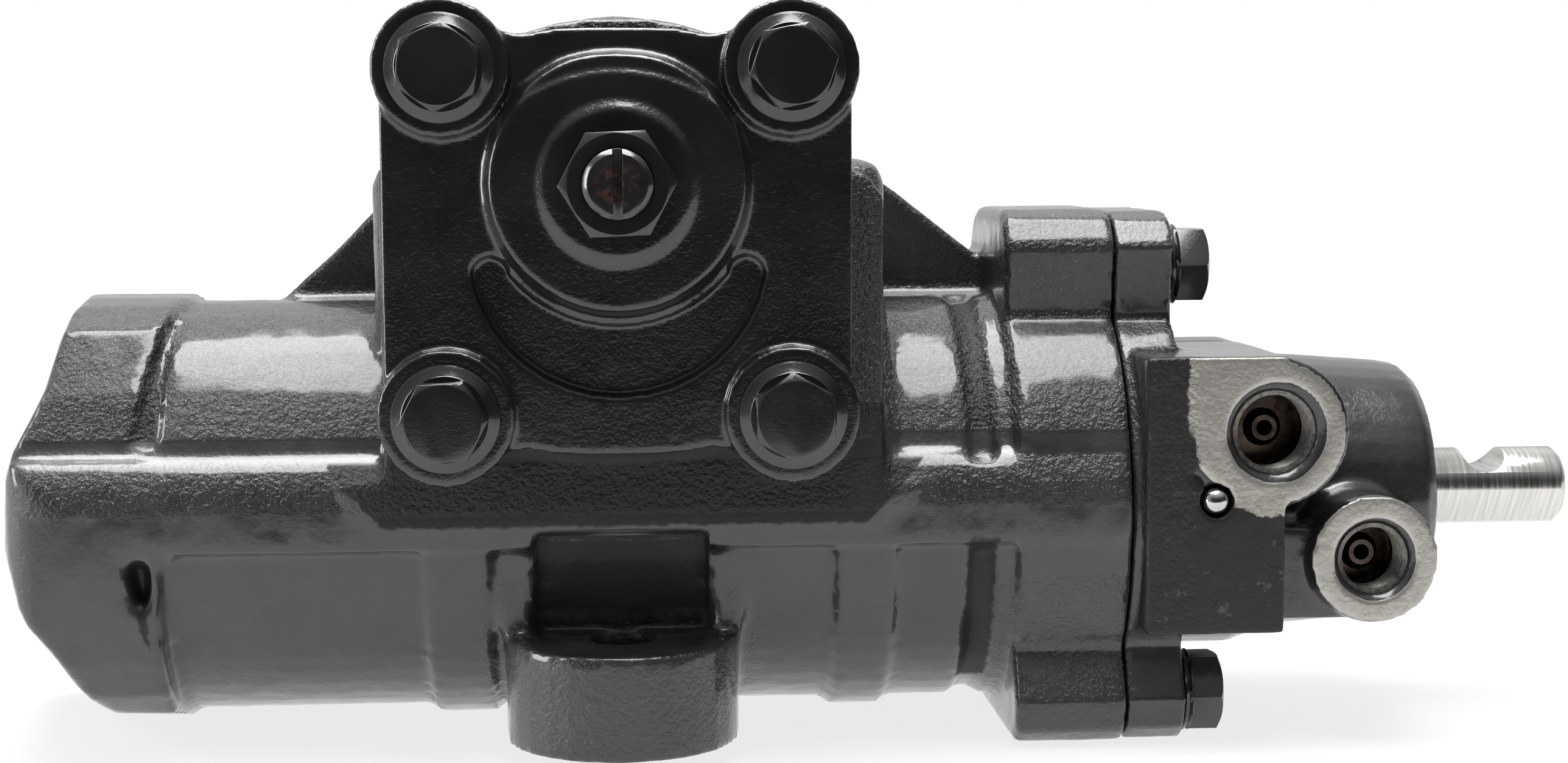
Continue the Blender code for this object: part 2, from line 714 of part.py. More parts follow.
def block_slots():
    """The two wedges between the end block and the barrel, above and below the band."""
    right = END_BLOCK_X + 0.0002
    upper = [(right, 0.0545), (right - 0.0008, 0.0545), (right - 0.0082, BAND_TOP + 0.0030),
             (right, BAND_TOP + 0.0030)]
    lower = [(right - 0.0022, BAND_BOTTOM - 0.0012), (right - 0.0082, BAND_BOTTOM - 0.0012),
             (right - 0.0042, -0.0250), (right - 0.0032, -0.0250)]
    floor = HOUSING_RADIUS - NECK_DEPTH
    slots = []
    for name, outline in (("upper_slot", upper), ("lower_slot", lower)):
        slot = front_plate(name, outline, -BAND_FRONT - 0.010, -0.012)
        slots.append(cut(slot, lengthwise(name + "_floor", floor, 0, 0, right - 0.020, right + 0.010, 56)))
    return slots


def barrel_rings():
    """The raised steps along the barrel, which stand a little proud of it all round."""
    raised = HOUSING_RADIUS + SADDLE_RISE
    return [lengthwise("saddle", raised, 0, 0, *SADDLE, 56), lengthwise("step_ring", raised, 0, 0, *STEP_RING, 56)]


def neck_ring():
    """The shallow neck before the end flange, open above and below the band on the front."""
    left, right = NECK_RING
    neck = place(ring("neck", HOUSING_RADIUS - NECK_DEPTH, HOUSING_RADIUS + 0.006, right - left, 56, cutter=True),
                 (left, 0, 0), ALONG_WORM)
    band = box("neck_band", (left - 0.01, -0.070, BAND_BOTTOM - 0.0015), (right + 0.01, -0.030, BAND_TOP - 0.0025))
    rear = box("neck_rear", (left - 0.01, 0.004, -0.070), (right + 0.01, 0.070, 0.070))
    return cut(neck, band, rear)


def front_lug():
    """The visible mounting lug: a round boss, the block behind it and two ribs up to the band."""
    outline = arc((0, 0), FRONT_LUG_RADIUS, 180, 360, 14)
    back = -FRONT_LUG_Y - 0.020
    outline += [(FRONT_LUG_RADIUS, back), (-FRONT_LUG_RADIUS, back)]
    raw_top = LUG_TOP + 0.0008
    lug = plate("front_lug", outline, raw_top - LUG_BASE)
    forms = [place(lug, (0, FRONT_LUG_Y, (raw_top + LUG_BASE) / 2))]
    for side, name in ((-1, "left_rib"), (1, "right_rib")):
        rib = [(side * RIB_TOP[1], BAND_BOTTOM + 0.002), (side * RIB_TOP[0], BAND_BOTTOM + 0.002),
               (side * RIB_BOTTOM[0], LUG_TOP - 0.003), (side * RIB_BOTTOM[1], LUG_TOP - 0.003)]
        forms.append(front_plate(name, rib, RIB_FRONT, -0.038))
    return forms


def rear_lugs():
    forms = []
    for i, x in enumerate(REAR_LUG_XS, 1):
        outline = arc((0, 0), REAR_LUG_RADIUS, 0, 180, 12)
        outline += [(-REAR_LUG_RADIUS, -REAR_LUG_Y + 0.020), (REAR_LUG_RADIUS, -REAR_LUG_Y + 0.020)]
        lug = plate(f"rear_lug_{i}", outline, LUG_TOP - LUG_BASE)
        forms.append(place(lug, (x, REAR_LUG_Y, (LUG_TOP + LUG_BASE) / 2)))
    return forms


def tower_forms():
    """The square tower round the sector shaft, its flange for the cover and its gussets."""
    top, side = TOWER_TOP, COVER_HALF_WIDTH + 0.0014
    flange = front_plate("cover_flange", cover_outline(-0.0006, 0.003), COVER_FACE_Y, -0.038)
    pad = front_plate("cover_pad", [(-0.0676, 0.0118), (-side, 0.0122), (-side, 0.030), (0.0620, 0.030),
                                    (0.0620, 0.0105), (0.0716, 0.0098), (0.0610, 0.0004), (-0.0600, 0.0004)],
                      COVER_FACE_Y + 0.0008, -0.030)
    shoulder = front_plate("tower_shoulder", [(0.0632, 0.012), (0.0632, top - 0.0090), (0.0592, top - 0.0038),
                                              (0.0530, top - 0.0018), (-side, top - 0.0018), (-side, 0.012)],
                           COVER_FACE_Y + 0.0012, -0.028)
    core = bevelled(box("tower_core", (-TOWER_LEFT, -0.036, 0.005), (TOWER_RIGHT, TOWER_BACK, top)), 0.006)
    hub = crosswise("hub_tower", HUB_TOWER_RADIUS, 0, SECTOR_HEIGHT, -0.040, TOWER_BACK + 0.004, 32)
    boss = crosswise("output_boss", OUTPUT_BOSS_RADIUS, 0, SECTOR_HEIGHT, 0.020, OUTPUT_BOSS_END, 32)
    gusset_back = GUSSET_FRONT + GUSSET_THICKNESS
    left = front_plate("left_gusset", [(-0.050, top - 0.0080), (-0.0620, top - 0.0115), (-0.0720, top - 0.0220),
                                       (-0.0880, 0.0515), (-0.0930, 0.030), (-0.050, 0.030)],
                       GUSSET_FRONT, gusset_back)
    right = front_plate("right_gusset", [(0.0565, top - 0.0020), (0.0700, top - 0.0065), (0.0950, 0.0620),
                                         (0.1000, 0.030), (0.0565, 0.030)], GUSSET_FRONT, gusset_back)
    return [flange, pad, shoulder, core, hub, boss, left, right]


def band_form():
    """The raised band along the front of the barrel, with a rounded upper edge."""
    front, top = -BAND_FRONT, BAND_TOP
    outline = [(-0.030, BAND_BOTTOM), (front + 0.0008, BAND_BOTTOM), (front, BAND_BOTTOM + 0.001),
               (front, top - 0.0110), (front + 0.0006, top - 0.0070), (front + 0.0022, top - 0.0030),
               (front + 0.0048, top - 0.0005), (front + 0.0085, top + 0.0010), (-0.030, top + 0.0020)]
    return side_plate("band", outline, END_BLOCK_X - 0.010, FLANGE_FACE_X - 0.0004)


def housing_bores():
    """Everything that is machined or cored inside the gear housing."""
    bore = lengthwise("piston_bore", BORE_RADIUS, 0, 0, BORE_END_X, FLANGE_FACE_X + 0.01, 48)
    half = arc((0, SECTOR_HEIGHT), CHAMBER_RADIUS, 180, 360, 20)
    roof = SECTOR_HEIGHT + 2 * RUNNING_GAP
    half += [(CHAMBER_RADIUS, roof), (-CHAMBER_RADIUS, roof)]
    chamber = front_plate("sector_chamber", half, -CHAMBER_HALF_DEPTH, CHAMBER_HALF_DEPTH)
    hub_room = crosswise("hub_room", SECTOR_HUB_RADIUS + END_GAP, 0, SECTOR_HEIGHT,
                         -CHAMBER_HALF_DEPTH - 0.005, CHAMBER_HALF_DEPTH + 0.0006, 26)
    opening = crosswise("cover_opening", COVER_OPENING_RADIUS, 0, COVER_CENTRE_HEIGHT,
                        COVER_FACE_Y - 0.01, -CHAMBER_HALF_DEPTH + 0.002, 32)
    groove = REAR_BORE_RADIUS + SNAP_GROOVE_DEPTH
    near, far = snap_ring_y() - SEAT_GAP, snap_ring_y() + SNAP_RING_LENGTH + SEAT_GAP
    back = OUTPUT_BOSS_END + 0.01
    stations = [(0, 0), (0, REAR_BORE_RADIUS), (near, REAR_BORE_RADIUS), (near, groove), (far, groove),
                (far, REAR_BORE_RADIUS), (back, REAR_BORE_RADIUS), (back, 0)]
    rear_bore = turned("rear_bearing_bore", [(-y, radius) for y, radius in stations], 28, cutter=True)
    place(rear_bore, (0, 0, SECTOR_HEIGHT), TOWARDS_COVER)
    return [bore, chamber, hub_room, opening, rear_bore]


def housing_holes():
    holes = []
    for i, (x, z) in enumerate(cover_bolt_places(), 1):
        holes.append(crosswise(f"cover_bolt_hole_{i}", BOLT_RADIUS + SEAT_GAP, x, z, COVER_FACE_Y - 0.01,
                               COVER_FACE_Y + COVER_BOLT_GRIP + END_GAP, 14))
    for i, (y, z, _) in enumerate(valve_bolt_places(), 1):
        holes.append(lengthwise(f"flange_bolt_hole_{i}", BOLT_RADIUS + SEAT_GAP, y, z,
                                FLANGE_FACE_X - VALVE_BOLT_GRIP - END_GAP, FLANGE_FACE_X + 0.01, 14))
    for i, (x, y) in enumerate(lug_hole_places(), 1):
        holes.append(upright(f"lug_hole_{i}", LUG_HOLE_RADIUS, x, y, LUG_BASE - 0.01, LUG_TOP + 0.0035, 20))
    pocket = [(-0.0410, LUG_TOP), (-0.0440, -0.0180), (-0.0475, -0.0090), (-0.0490, -0.0012), (-0.0900, -0.0012),
              (-0.0900, LUG_TOP)]
    half = RIB_BOTTOM[0] - 0.0006
    holes.append(side_plate("lug_pocket", pocket, -half, half))
    return holes


def lug_hole_places():
    return [(0, FRONT_HOLE_Y)] + [(x, REAR_LUG_Y) for x in REAR_LUG_XS]


def snap_ring_y():
    return REAR_JOURNAL_END + OIL_SEAL_LENGTH + 0.0030


def gear_housing():
    left = END_BLOCK_X - 0.004
    body = lengthwise("gear_housing", HOUSING_RADIUS, 0, 0, left, FLANGE_FACE_X - 0.010, 56, cutter=False)
    forms = [end_block(), band_form()] + barrel_rings() + tower_forms() + rear_lugs()
    forms.append(side_plate("end_flange", flange_outline(0.0006), FLANGE_FACE_X - FLANGE_LENGTH, FLANGE_FACE_X))
    joined(body, *forms, *front_lug())
    cut(body, *block_slots(), neck_ring(), *housing_holes(), *housing_bores())
    return finished(body, housing_paint())


def towards_cover_cone(name, slope, radius_at_y, y, back, front, steps):
    """A cone along Y that has a given radius at one station and tapers towards the front by `slope`."""
    widest = radius_at_y + slope * (back - y)
    narrowest = radius_at_y - slope * (y - front)
    return place(cylinder(name, widest, back - front, narrowest, steps), (0, back, SECTOR_HEIGHT), TOWARDS_COVER)


def crescent_outline():
    """The sunk crescent under the disc: two arcs that end in round tips, in X and Z."""
    inner_radius = COVER_DISC_RADIUS + 0.0015
    tip_x, tip_z = 0.02985, COVER_CENTRE_HEIGHT - 0.0075
    outer = arc((0, COVER_CENTRE_HEIGHT - 0.0011), CRESCENT_RADIUS, 190.5, 349.5, 16)
    right = arc((tip_x, tip_z), CRESCENT_TIP_RADIUS, 0, 180, 6)
    inner = arc((0, SECTOR_HEIGHT), inner_radius, -40.1, -139.9, 14)
    left = arc((-tip_x, tip_z), CRESCENT_TIP_RADIUS, 0, 180, 6)
    return outer[:-1] + right[:-1] + inner[:-1] + left[:-1]


def side_cover():
    cover = front_plate("side_cover", cover_outline(), COVER_PLATE_Y, COVER_BACK_Y, cutter=False)
    inside = COVER_PLATE_Y + 0.004
    disc = towards_cover_cone("cover_disc", COVER_DISC_DRAFT / COVER_DISC_RISE, COVER_DISC_RADIUS,
                              COVER_PLATE_Y, inside, COVER_DISC_Y, 40)
    ledge, front = -COVER_DISC_Y - COVER_BROW_STEP, -COVER_DISC_Y + 0.002
    brow = turned("cover_brow", [(front, 0), (front, COVER_BROW_TOP_RADIUS - 0.0004),
                                 (ledge, COVER_BROW_TOP_RADIUS), (ledge, COVER_BROW_RADIUS - 0.0014),
                                 (-COVER_PLATE_Y, COVER_BROW_RADIUS), (-inside - 0.001, COVER_BROW_RADIUS),
                                 (-inside - 0.001, 0)], 48, cutter=True)
    with_boolean(disc, "INTERSECT", [place(brow, (0, 0, COVER_CENTRE_HEIGHT), TOWARDS_COVER)])
    nut_boss = towards_cover_cone("nut_boss", NUT_BOSS_SLOPE, NUT_BOSS_RADIUS, NUT_SEAT_Y, COVER_DISC_Y + 0.002,
                                  NUT_SEAT_Y, 32)
    spigot = crosswise("cover_spigot", COVER_OPENING_RADIUS - SEAT_GAP, 0, COVER_CENTRE_HEIGHT,
                       COVER_PLATE_Y + 0.0055, COVER_BACK_Y + SPIGOT_DEPTH, 32)
    inner_boss = crosswise("bush_boss", COVER_BORE_RADIUS + BUSH_HOUSING_WALL, 0, SECTOR_HEIGHT,
                           COVER_PLATE_Y + 0.0055, -CHAMBER_HALF_DEPTH - SEAT_GAP, 28)
    corners = [crosswise(f"cover_boss_{i}", COVER_BOSS_RADIUS - 0.0002, x, z, COVER_BOSS_Y,
                         COVER_PLATE_Y + 0.004, 22)
               for i, (x, z) in enumerate(cover_bolt_places(), 1)]
    crescent = front_plate("crescent", crescent_outline(), COVER_PLATE_Y - 0.01, COVER_PLATE_Y + CRESCENT_DEPTH)
    bore = crosswise("bush_bore", COVER_BORE_RADIUS, 0, SECTOR_HEIGHT, FRONT_JOURNAL_END - END_GAP / 2, 0, 24)
    thread = crosswise("adjuster_hole", ADJUSTER_RADIUS + SEAT_GAP, 0, SECTOR_HEIGHT, COVER_DISC_Y - 0.01, 0,
                       24)
    holes = [crosswise(f"cover_hole_{i}", BOLT_RADIUS + SEAT_GAP, x, z, COVER_BOSS_Y - 0.01,
                       COVER_BACK_Y + 0.01, 14)
             for i, (x, z) in enumerate(cover_bolt_places(), 1)]
    joined(cover, disc, nut_boss, spigot, inner_boss, *corners)
    cut(cover, crescent, bore, thread, *holes)
    return finished(cover, cover_paint())


def side_cover_gasket():
    gasket = front_plate("side_cover_gasket", cover_outline(-0.0004), COVER_BACK_Y + SEAT_GAP,
                         COVER_FACE_Y - SEAT_GAP, cutter=False)
    window = crosswise("gasket_window", COVER_OPENING_RADIUS + SEAT_GAP, 0, COVER_CENTRE_HEIGHT,
                       COVER_BACK_Y - 0.01, COVER_FACE_Y + 0.01, 28)
    holes = [crosswise(f"gasket_hole_{i}", BOLT_RADIUS + SEAT_GAP, x, z, COVER_BACK_Y - 0.01,
                       COVER_FACE_Y + 0.01, 14)
             for i, (x, z) in enumerate(cover_bolt_places(), 1)]
    cut(gasket, window, *holes)
    return finished(gasket, gasket_fibre())


def hex_bolt(name, flats, head, flange_radius, under_head, where, turn, twist):
    """A flange bolt on local Z: shank below 0, flange and hexagon above."""
    bolt = turned(name, [(BOLT_FLANGE + 0.0004, 0), (BOLT_FLANGE + 0.0004, flange_radius * 0.80),
                         (BOLT_FLANGE, flange_radius), (SEAT_GAP, flange_radius), (SEAT_GAP, BOLT_RADIUS),
                         (-under_head, BOLT_RADIUS), (-under_head, 0)], 16)
    hexagonal = plate(name + "_hex", hexagon(flats, twist), head)
    place(bolt, where, turn)
    place(hexagonal, (0, 0, 0), turn)
    middle = Vector((0, 0, BOLT_FLANGE + head / 2))
    middle.rotate(turn)
    hexagonal.location = Vector(where) + middle
    joined(bolt, hexagonal)
    return finished(bolt, painted_steel())


def cover_bolts():
    twists = (0.42, 0.20, 0.05, 0.55)
    under_head = COVER_BACK_Y - COVER_BOSS_Y + COVER_FACE_Y - COVER_BACK_Y + COVER_BOLT_GRIP
    for i, ((x, z), twist) in enumerate(zip(cover_bolt_places(), twists), 1):
        hex_bolt(f"side_cover_bolt_{i}", COVER_BOLT_FLATS, COVER_BOLT_HEAD, COVER_BOLT_FLANGE_RADIUS,
                 under_head, (x, COVER_BOSS_Y, z), TOWARDS_COVER, twist)


def valve_bolts():
    under_head = VALVE_FLANGE + SEAT_GAP + VALVE_BOLT_GRIP
    for i, (y, z, _) in enumerate(valve_bolt_places(), 1):
        hex_bolt(f"valve_housing_bolt_{i}", VALVE_BOLT_FLATS, VALVE_BOLT_HEAD, VALVE_BOLT_FLANGE_RADIUS,
                 under_head, (VALVE_SEAT_X, y, z), ALONG_WORM, math.pi / 2)


def adjuster_screw():
    """The slotted screw whose head lies in the sector shaft's T-slot and sets the lash."""
    head_front = SLOT_FLOOR_Y - 2 * SEAT_GAP - SHIM_THICKNESS - ADJUSTER_HEAD_LENGTH
    head_back = head_front + ADJUSTER_HEAD_LENGTH
    tip = -ADJUSTER_TIP_Y
    screw = turned("adjuster_screw", [(tip, 0), (tip, ADJUSTER_RADIUS - 0.0012),
                                      (tip - 0.0012, ADJUSTER_RADIUS), (-head_front, ADJUSTER_RADIUS),
                                      (-head_front, ADJUSTER_HEAD_RADIUS),
                                      (-head_back, ADJUSTER_HEAD_RADIUS), (-head_back, 0)], 28)
    place(screw, (0, 0, SECTOR_HEIGHT), TOWARDS_COVER)
    slot = box("screwdriver_slot", (-ADJUSTER_SLOT_WIDTH / 2, ADJUSTER_TIP_Y - 0.01, SECTOR_HEIGHT - 0.02),
               (ADJUSTER_SLOT_WIDTH / 2, ADJUSTER_TIP_Y + ADJUSTER_SLOT_DEPTH, SECTOR_HEIGHT + 0.02))
    cut(screw, slot)
    return finished(screw, painted_steel())


def adjuster_shim():
    shim = ring("adjuster_shim", 0.0020, ADJUSTER_HEAD_RADIUS - 0.0004, SHIM_THICKNESS)
    place(shim, (0, SLOT_FLOOR_Y - SEAT_GAP, SECTOR_HEIGHT), TOWARDS_COVER)
    return finished(shim, bearing_steel())


def adjuster_lock_nut():
    front = NUT_SEAT_Y - SEAT_GAP - LOCK_NUT_LENGTH
    back = NUT_SEAT_Y - SEAT_GAP
    nut = front_plate("adjuster_lock_nut", hexagon(LOCK_NUT_FLATS, 0.04), front, back, cutter=False)
    nut.location.z = SECTOR_HEIGHT
    cut(nut, crosswise("nut_thread", ADJUSTER_RADIUS + SEAT_GAP, 0, SECTOR_HEIGHT, front - 0.01,
                       back + 0.01, 24))
    return finished(nut, painted_steel())


def involute(angle):
    return math.tan(angle) - angle


def tooth_half_angle(radius):
    """Half the angle that a sector tooth covers at a radius, from the involute of its base circle."""
    base = SECTOR_PITCH_RADIUS * math.cos(PRESSURE_ANGLE)
    at_pitch = math.pi / 2 / TEETH_IN_CIRCLE - BACKLASH / 2 / SECTOR_PITCH_RADIUS
    return at_pitch + involute(PRESSURE_ANGLE) - involute(math.acos(min(1.0, base / radius)))


def sector_outline():
    """Five teeth round the bottom of a sector, drawn in X and Z from the sector axis."""
    base = SECTOR_PITCH_RADIUS * math.cos(PRESSURE_ANGLE)
    root = SECTOR_PITCH_RADIUS - DEDENDUM
    tip = SECTOR_PITCH_RADIUS + ADDENDUM
    radii = [base + (tip - base) * i / 4 for i in range(5)]
    step = 2 * math.pi / TEETH_IN_CIRCLE
    polar = []
    for tooth in range(SECTOR_TEETH):
        middle = (tooth - (SECTOR_TEETH - 1) / 2) * step
        rising = [(r, middle - tooth_half_angle(r)) for r in radii]
        falling = [(r, middle + tooth_half_angle(r)) for r in reversed(radii)]
        foot = tooth_half_angle(base)
        polar += [(root, middle - foot)] + rising + falling + [(root, middle + foot)]
    inner = SECTOR_HUB_RADIUS * 0.8
    reach = polar[-1][1]
    polar += [(inner, reach), (inner, -reach)]
    return [(r * math.sin(a), -r * math.cos(a)) for r, a in polar]


def spline_outline():
    tooth = [(SEAL_JOURNAL_RADIUS - 0.0004, 0.28), (SEAL_JOURNAL_RADIUS - 0.0004 - SPLINE_DEPTH, 0.78)]
    return [(radius * math.cos(2 * math.pi * (i + share) / SPLINE_TEETH),
             radius * math.sin(2 * math.pi * (i + share) / SPLINE_TEETH))
            for i in range(SPLINE_TEETH) for radius, share in tooth]


def sector_shaft():
    half = SECTOR_FACE / 2
    neck = SEAL_JOURNAL_RADIUS - 0.0004 - 2 * SPLINE_DEPTH
    spline_end = SPLINE_START + SPLINE_LENGTH
    stations = [(FRONT_JOURNAL_END, 0), (FRONT_JOURNAL_END, FRONT_JOURNAL_RADIUS - 0.001),
                (FRONT_JOURNAL_END + 0.001, FRONT_JOURNAL_RADIUS), (-half, FRONT_JOURNAL_RADIUS),
                (-half, SECTOR_HUB_RADIUS), (half, SECTOR_HUB_RADIUS), (half, REAR_JOURNAL_RADIUS),
                (REAR_JOURNAL_END, REAR_JOURNAL_RADIUS), (REAR_JOURNAL_END, SEAL_JOURNAL_RADIUS),
                (SPLINE_START - 0.001, SEAL_JOURNAL_RADIUS), (SPLINE_START, neck), (spline_end, neck),
                (spline_end, OUTPUT_THREAD_RADIUS), (OUTPUT_END_Y - 0.0015, OUTPUT_THREAD_RADIUS),
                (OUTPUT_END_Y, OUTPUT_THREAD_RADIUS - 0.0015), (OUTPUT_END_Y, 0)]
    shaft = turned("sector_shaft", [(-y, radius) for y, radius in stations], 28)
    place(shaft, (0, 0, SECTOR_HEIGHT), TOWARDS_COVER, SECTOR_AXIS)
    teeth = front_plate("sector_teeth", sector_outline(), -half + 0.0002, half - 0.0002)
    teeth.location.z = SECTOR_HEIGHT
    splines = front_plate("output_splines", spline_outline(), SPLINE_START + 0.0005, spline_end - 0.0005)
    splines.location.z = SECTOR_HEIGHT
    head, shank = ADJUSTER_HEAD_RADIUS + SEAT_GAP, ADJUSTER_RADIUS + SEAT_GAP
    head_front = FRONT_JOURNAL_END + SLOT_ROOF
    slot_head = box("slot_head", (-head, head_front, SECTOR_HEIGHT - head),
                    (FRONT_JOURNAL_RADIUS + 0.01, SLOT_FLOOR_Y, SECTOR_HEIGHT + head))
    slot_shank = box("slot_shank", (-shank, FRONT_JOURNAL_END - 0.01, SECTOR_HEIGHT - shank),
                     (FRONT_JOURNAL_RADIUS + 0.01, head_front + 0.001, SECTOR_HEIGHT + shank))
    joined(shaft, teeth, splines)
    cut(shaft, slot_head, slot_shank)
    return finished(shaft, gear_steel())


def sector_bearings_and_seals():
    """The rings round the sector shaft, each at its place along Y."""
    journal = REAR_JOURNAL_RADIUS + RUNNING_GAP
    sealed = SEAL_JOURNAL_RADIUS + RUNNING_GAP
    outer = REAR_BORE_RADIUS - SEAT_GAP
    bush_front = FRONT_JOURNAL_END + 0.001
    bush_length = -CHAMBER_HALF_DEPTH - 0.001 - bush_front
    seal_y = REAR_JOURNAL_END + SEAT_GAP
    dust_y = OUTPUT_BOSS_END - DUST_SEAL_LENGTH
    rows = (("sector_front_bush", FRONT_JOURNAL_RADIUS + RUNNING_GAP, BUSH_RADIUS, bush_front, bush_length,
             bronze()),
            ("sector_needle_bearing", journal, outer, REAR_JOURNAL_END - REAR_BEARING_LENGTH - 0.001,
             REAR_BEARING_LENGTH, bearing_steel()),
            ("sector_oil_seal", sealed, outer, seal_y, OIL_SEAL_LENGTH, seal_rubber()),
            ("sector_seal_ring", sealed + 0.002, outer + SNAP_GROOVE_DEPTH, snap_ring_y(), SNAP_RING_LENGTH,
             bearing_steel()),
            ("sector_dust_seal", sealed, outer, dust_y, DUST_SEAL_LENGTH, seal_rubber()))
    for name, inner, outside, front, length, surface in rows:
        piece = ring(name, inner, outside, length, 24)
        place(piece, (0, front + length, SECTOR_HEIGHT), TOWARDS_COVER)
        finished(piece, surface)


def pitman_fasteners():
    """The nut and spring washer that hold a drop arm on the output splines."""
    washer_front = SPLINE_START + SPLINE_LENGTH + SEAT_GAP
    washer = ring("pitman_lock_washer", OUTPUT_THREAD_RADIUS + SEAT_GAP, LOCK_WASHER_RADIUS,
                  LOCK_WASHER_THICKNESS)
    place(washer, (0, washer_front + LOCK_WASHER_THICKNESS, SECTOR_HEIGHT), TOWARDS_COVER, SECTOR_AXIS)
    finished(washer, painted_steel())
    front = washer_front + LOCK_WASHER_THICKNESS + SEAT_GAP
    back = front + PITMAN_NUT_LENGTH
    nut = front_plate("pitman_nut", hexagon(PITMAN_NUT_FLATS), front, back, cutter=False)
    place(nut, (0, (front + back) / 2, SECTOR_HEIGHT), TOWARDS_COVER, SECTOR_AXIS)
    cut(nut, crosswise("pitman_thread", OUTPUT_THREAD_RADIUS + SEAT_GAP, 0, SECTOR_HEIGHT, front - 0.01,
                       back + 0.01, 24))
    finished(nut, painted_steel())


def barrel_profile():
    low, high = SEAL_X - SEAT_GAP, SEAL_X + SEAL_SECTION + SEAT_GAP
    floor = BORE_RADIUS - SEAL_SECTION - SEAT_GAP
    return [(BARREL_END_X, 0), (BARREL_END_X, BARREL_END_RADIUS - BARREL_CHAMFER),
            (BARREL_END_X - BARREL_CHAMFER, BARREL_END_RADIUS - 0.0004),
            (BARREL_END_X - 0.008, BARREL_END_RADIUS + 0.0004), (BARREL_NECK_X, BARREL_NECK_RADIUS),
            (BARREL_SHOULDER_X, BARREL_RADIUS), (VALVE_FACE_X + 0.004, BARREL_RADIUS),
            (VALVE_FACE_X + 0.004, BORE_RADIUS - SEAT_GAP), (high, BORE_RADIUS - SEAT_GAP), (high, floor),
            (low, floor), (low, BORE_RADIUS - SEAT_GAP), (SPIGOT_START_X, BORE_RADIUS - SEAT_GAP),
            (SPIGOT_START_X, 0)]


def port_cutters(name, port, face, radius, mouth, bore_reach):
    """A threaded port: chamfered mouth, straight bore and the drilling to the valve."""
    x, z = port
    chamfer = cylinder(name + "_mouth", radius * 0.98, PORT_MOUTH_DEPTH + 0.001, mouth + 0.0012, 24)
    place(chamfer, (x, face + PORT_MOUTH_DEPTH, z), TOWARDS_COVER)
    bore = crosswise(name + "_bore", radius, x, z, face - 0.01, face + PORT_DEPTH, 24)
    passage = crosswise(name + "_passage", PASSAGE_RADIUS, x, z, face + PORT_DEPTH - 0.002, bore_reach, 12)
    return [chamfer, bore, passage]


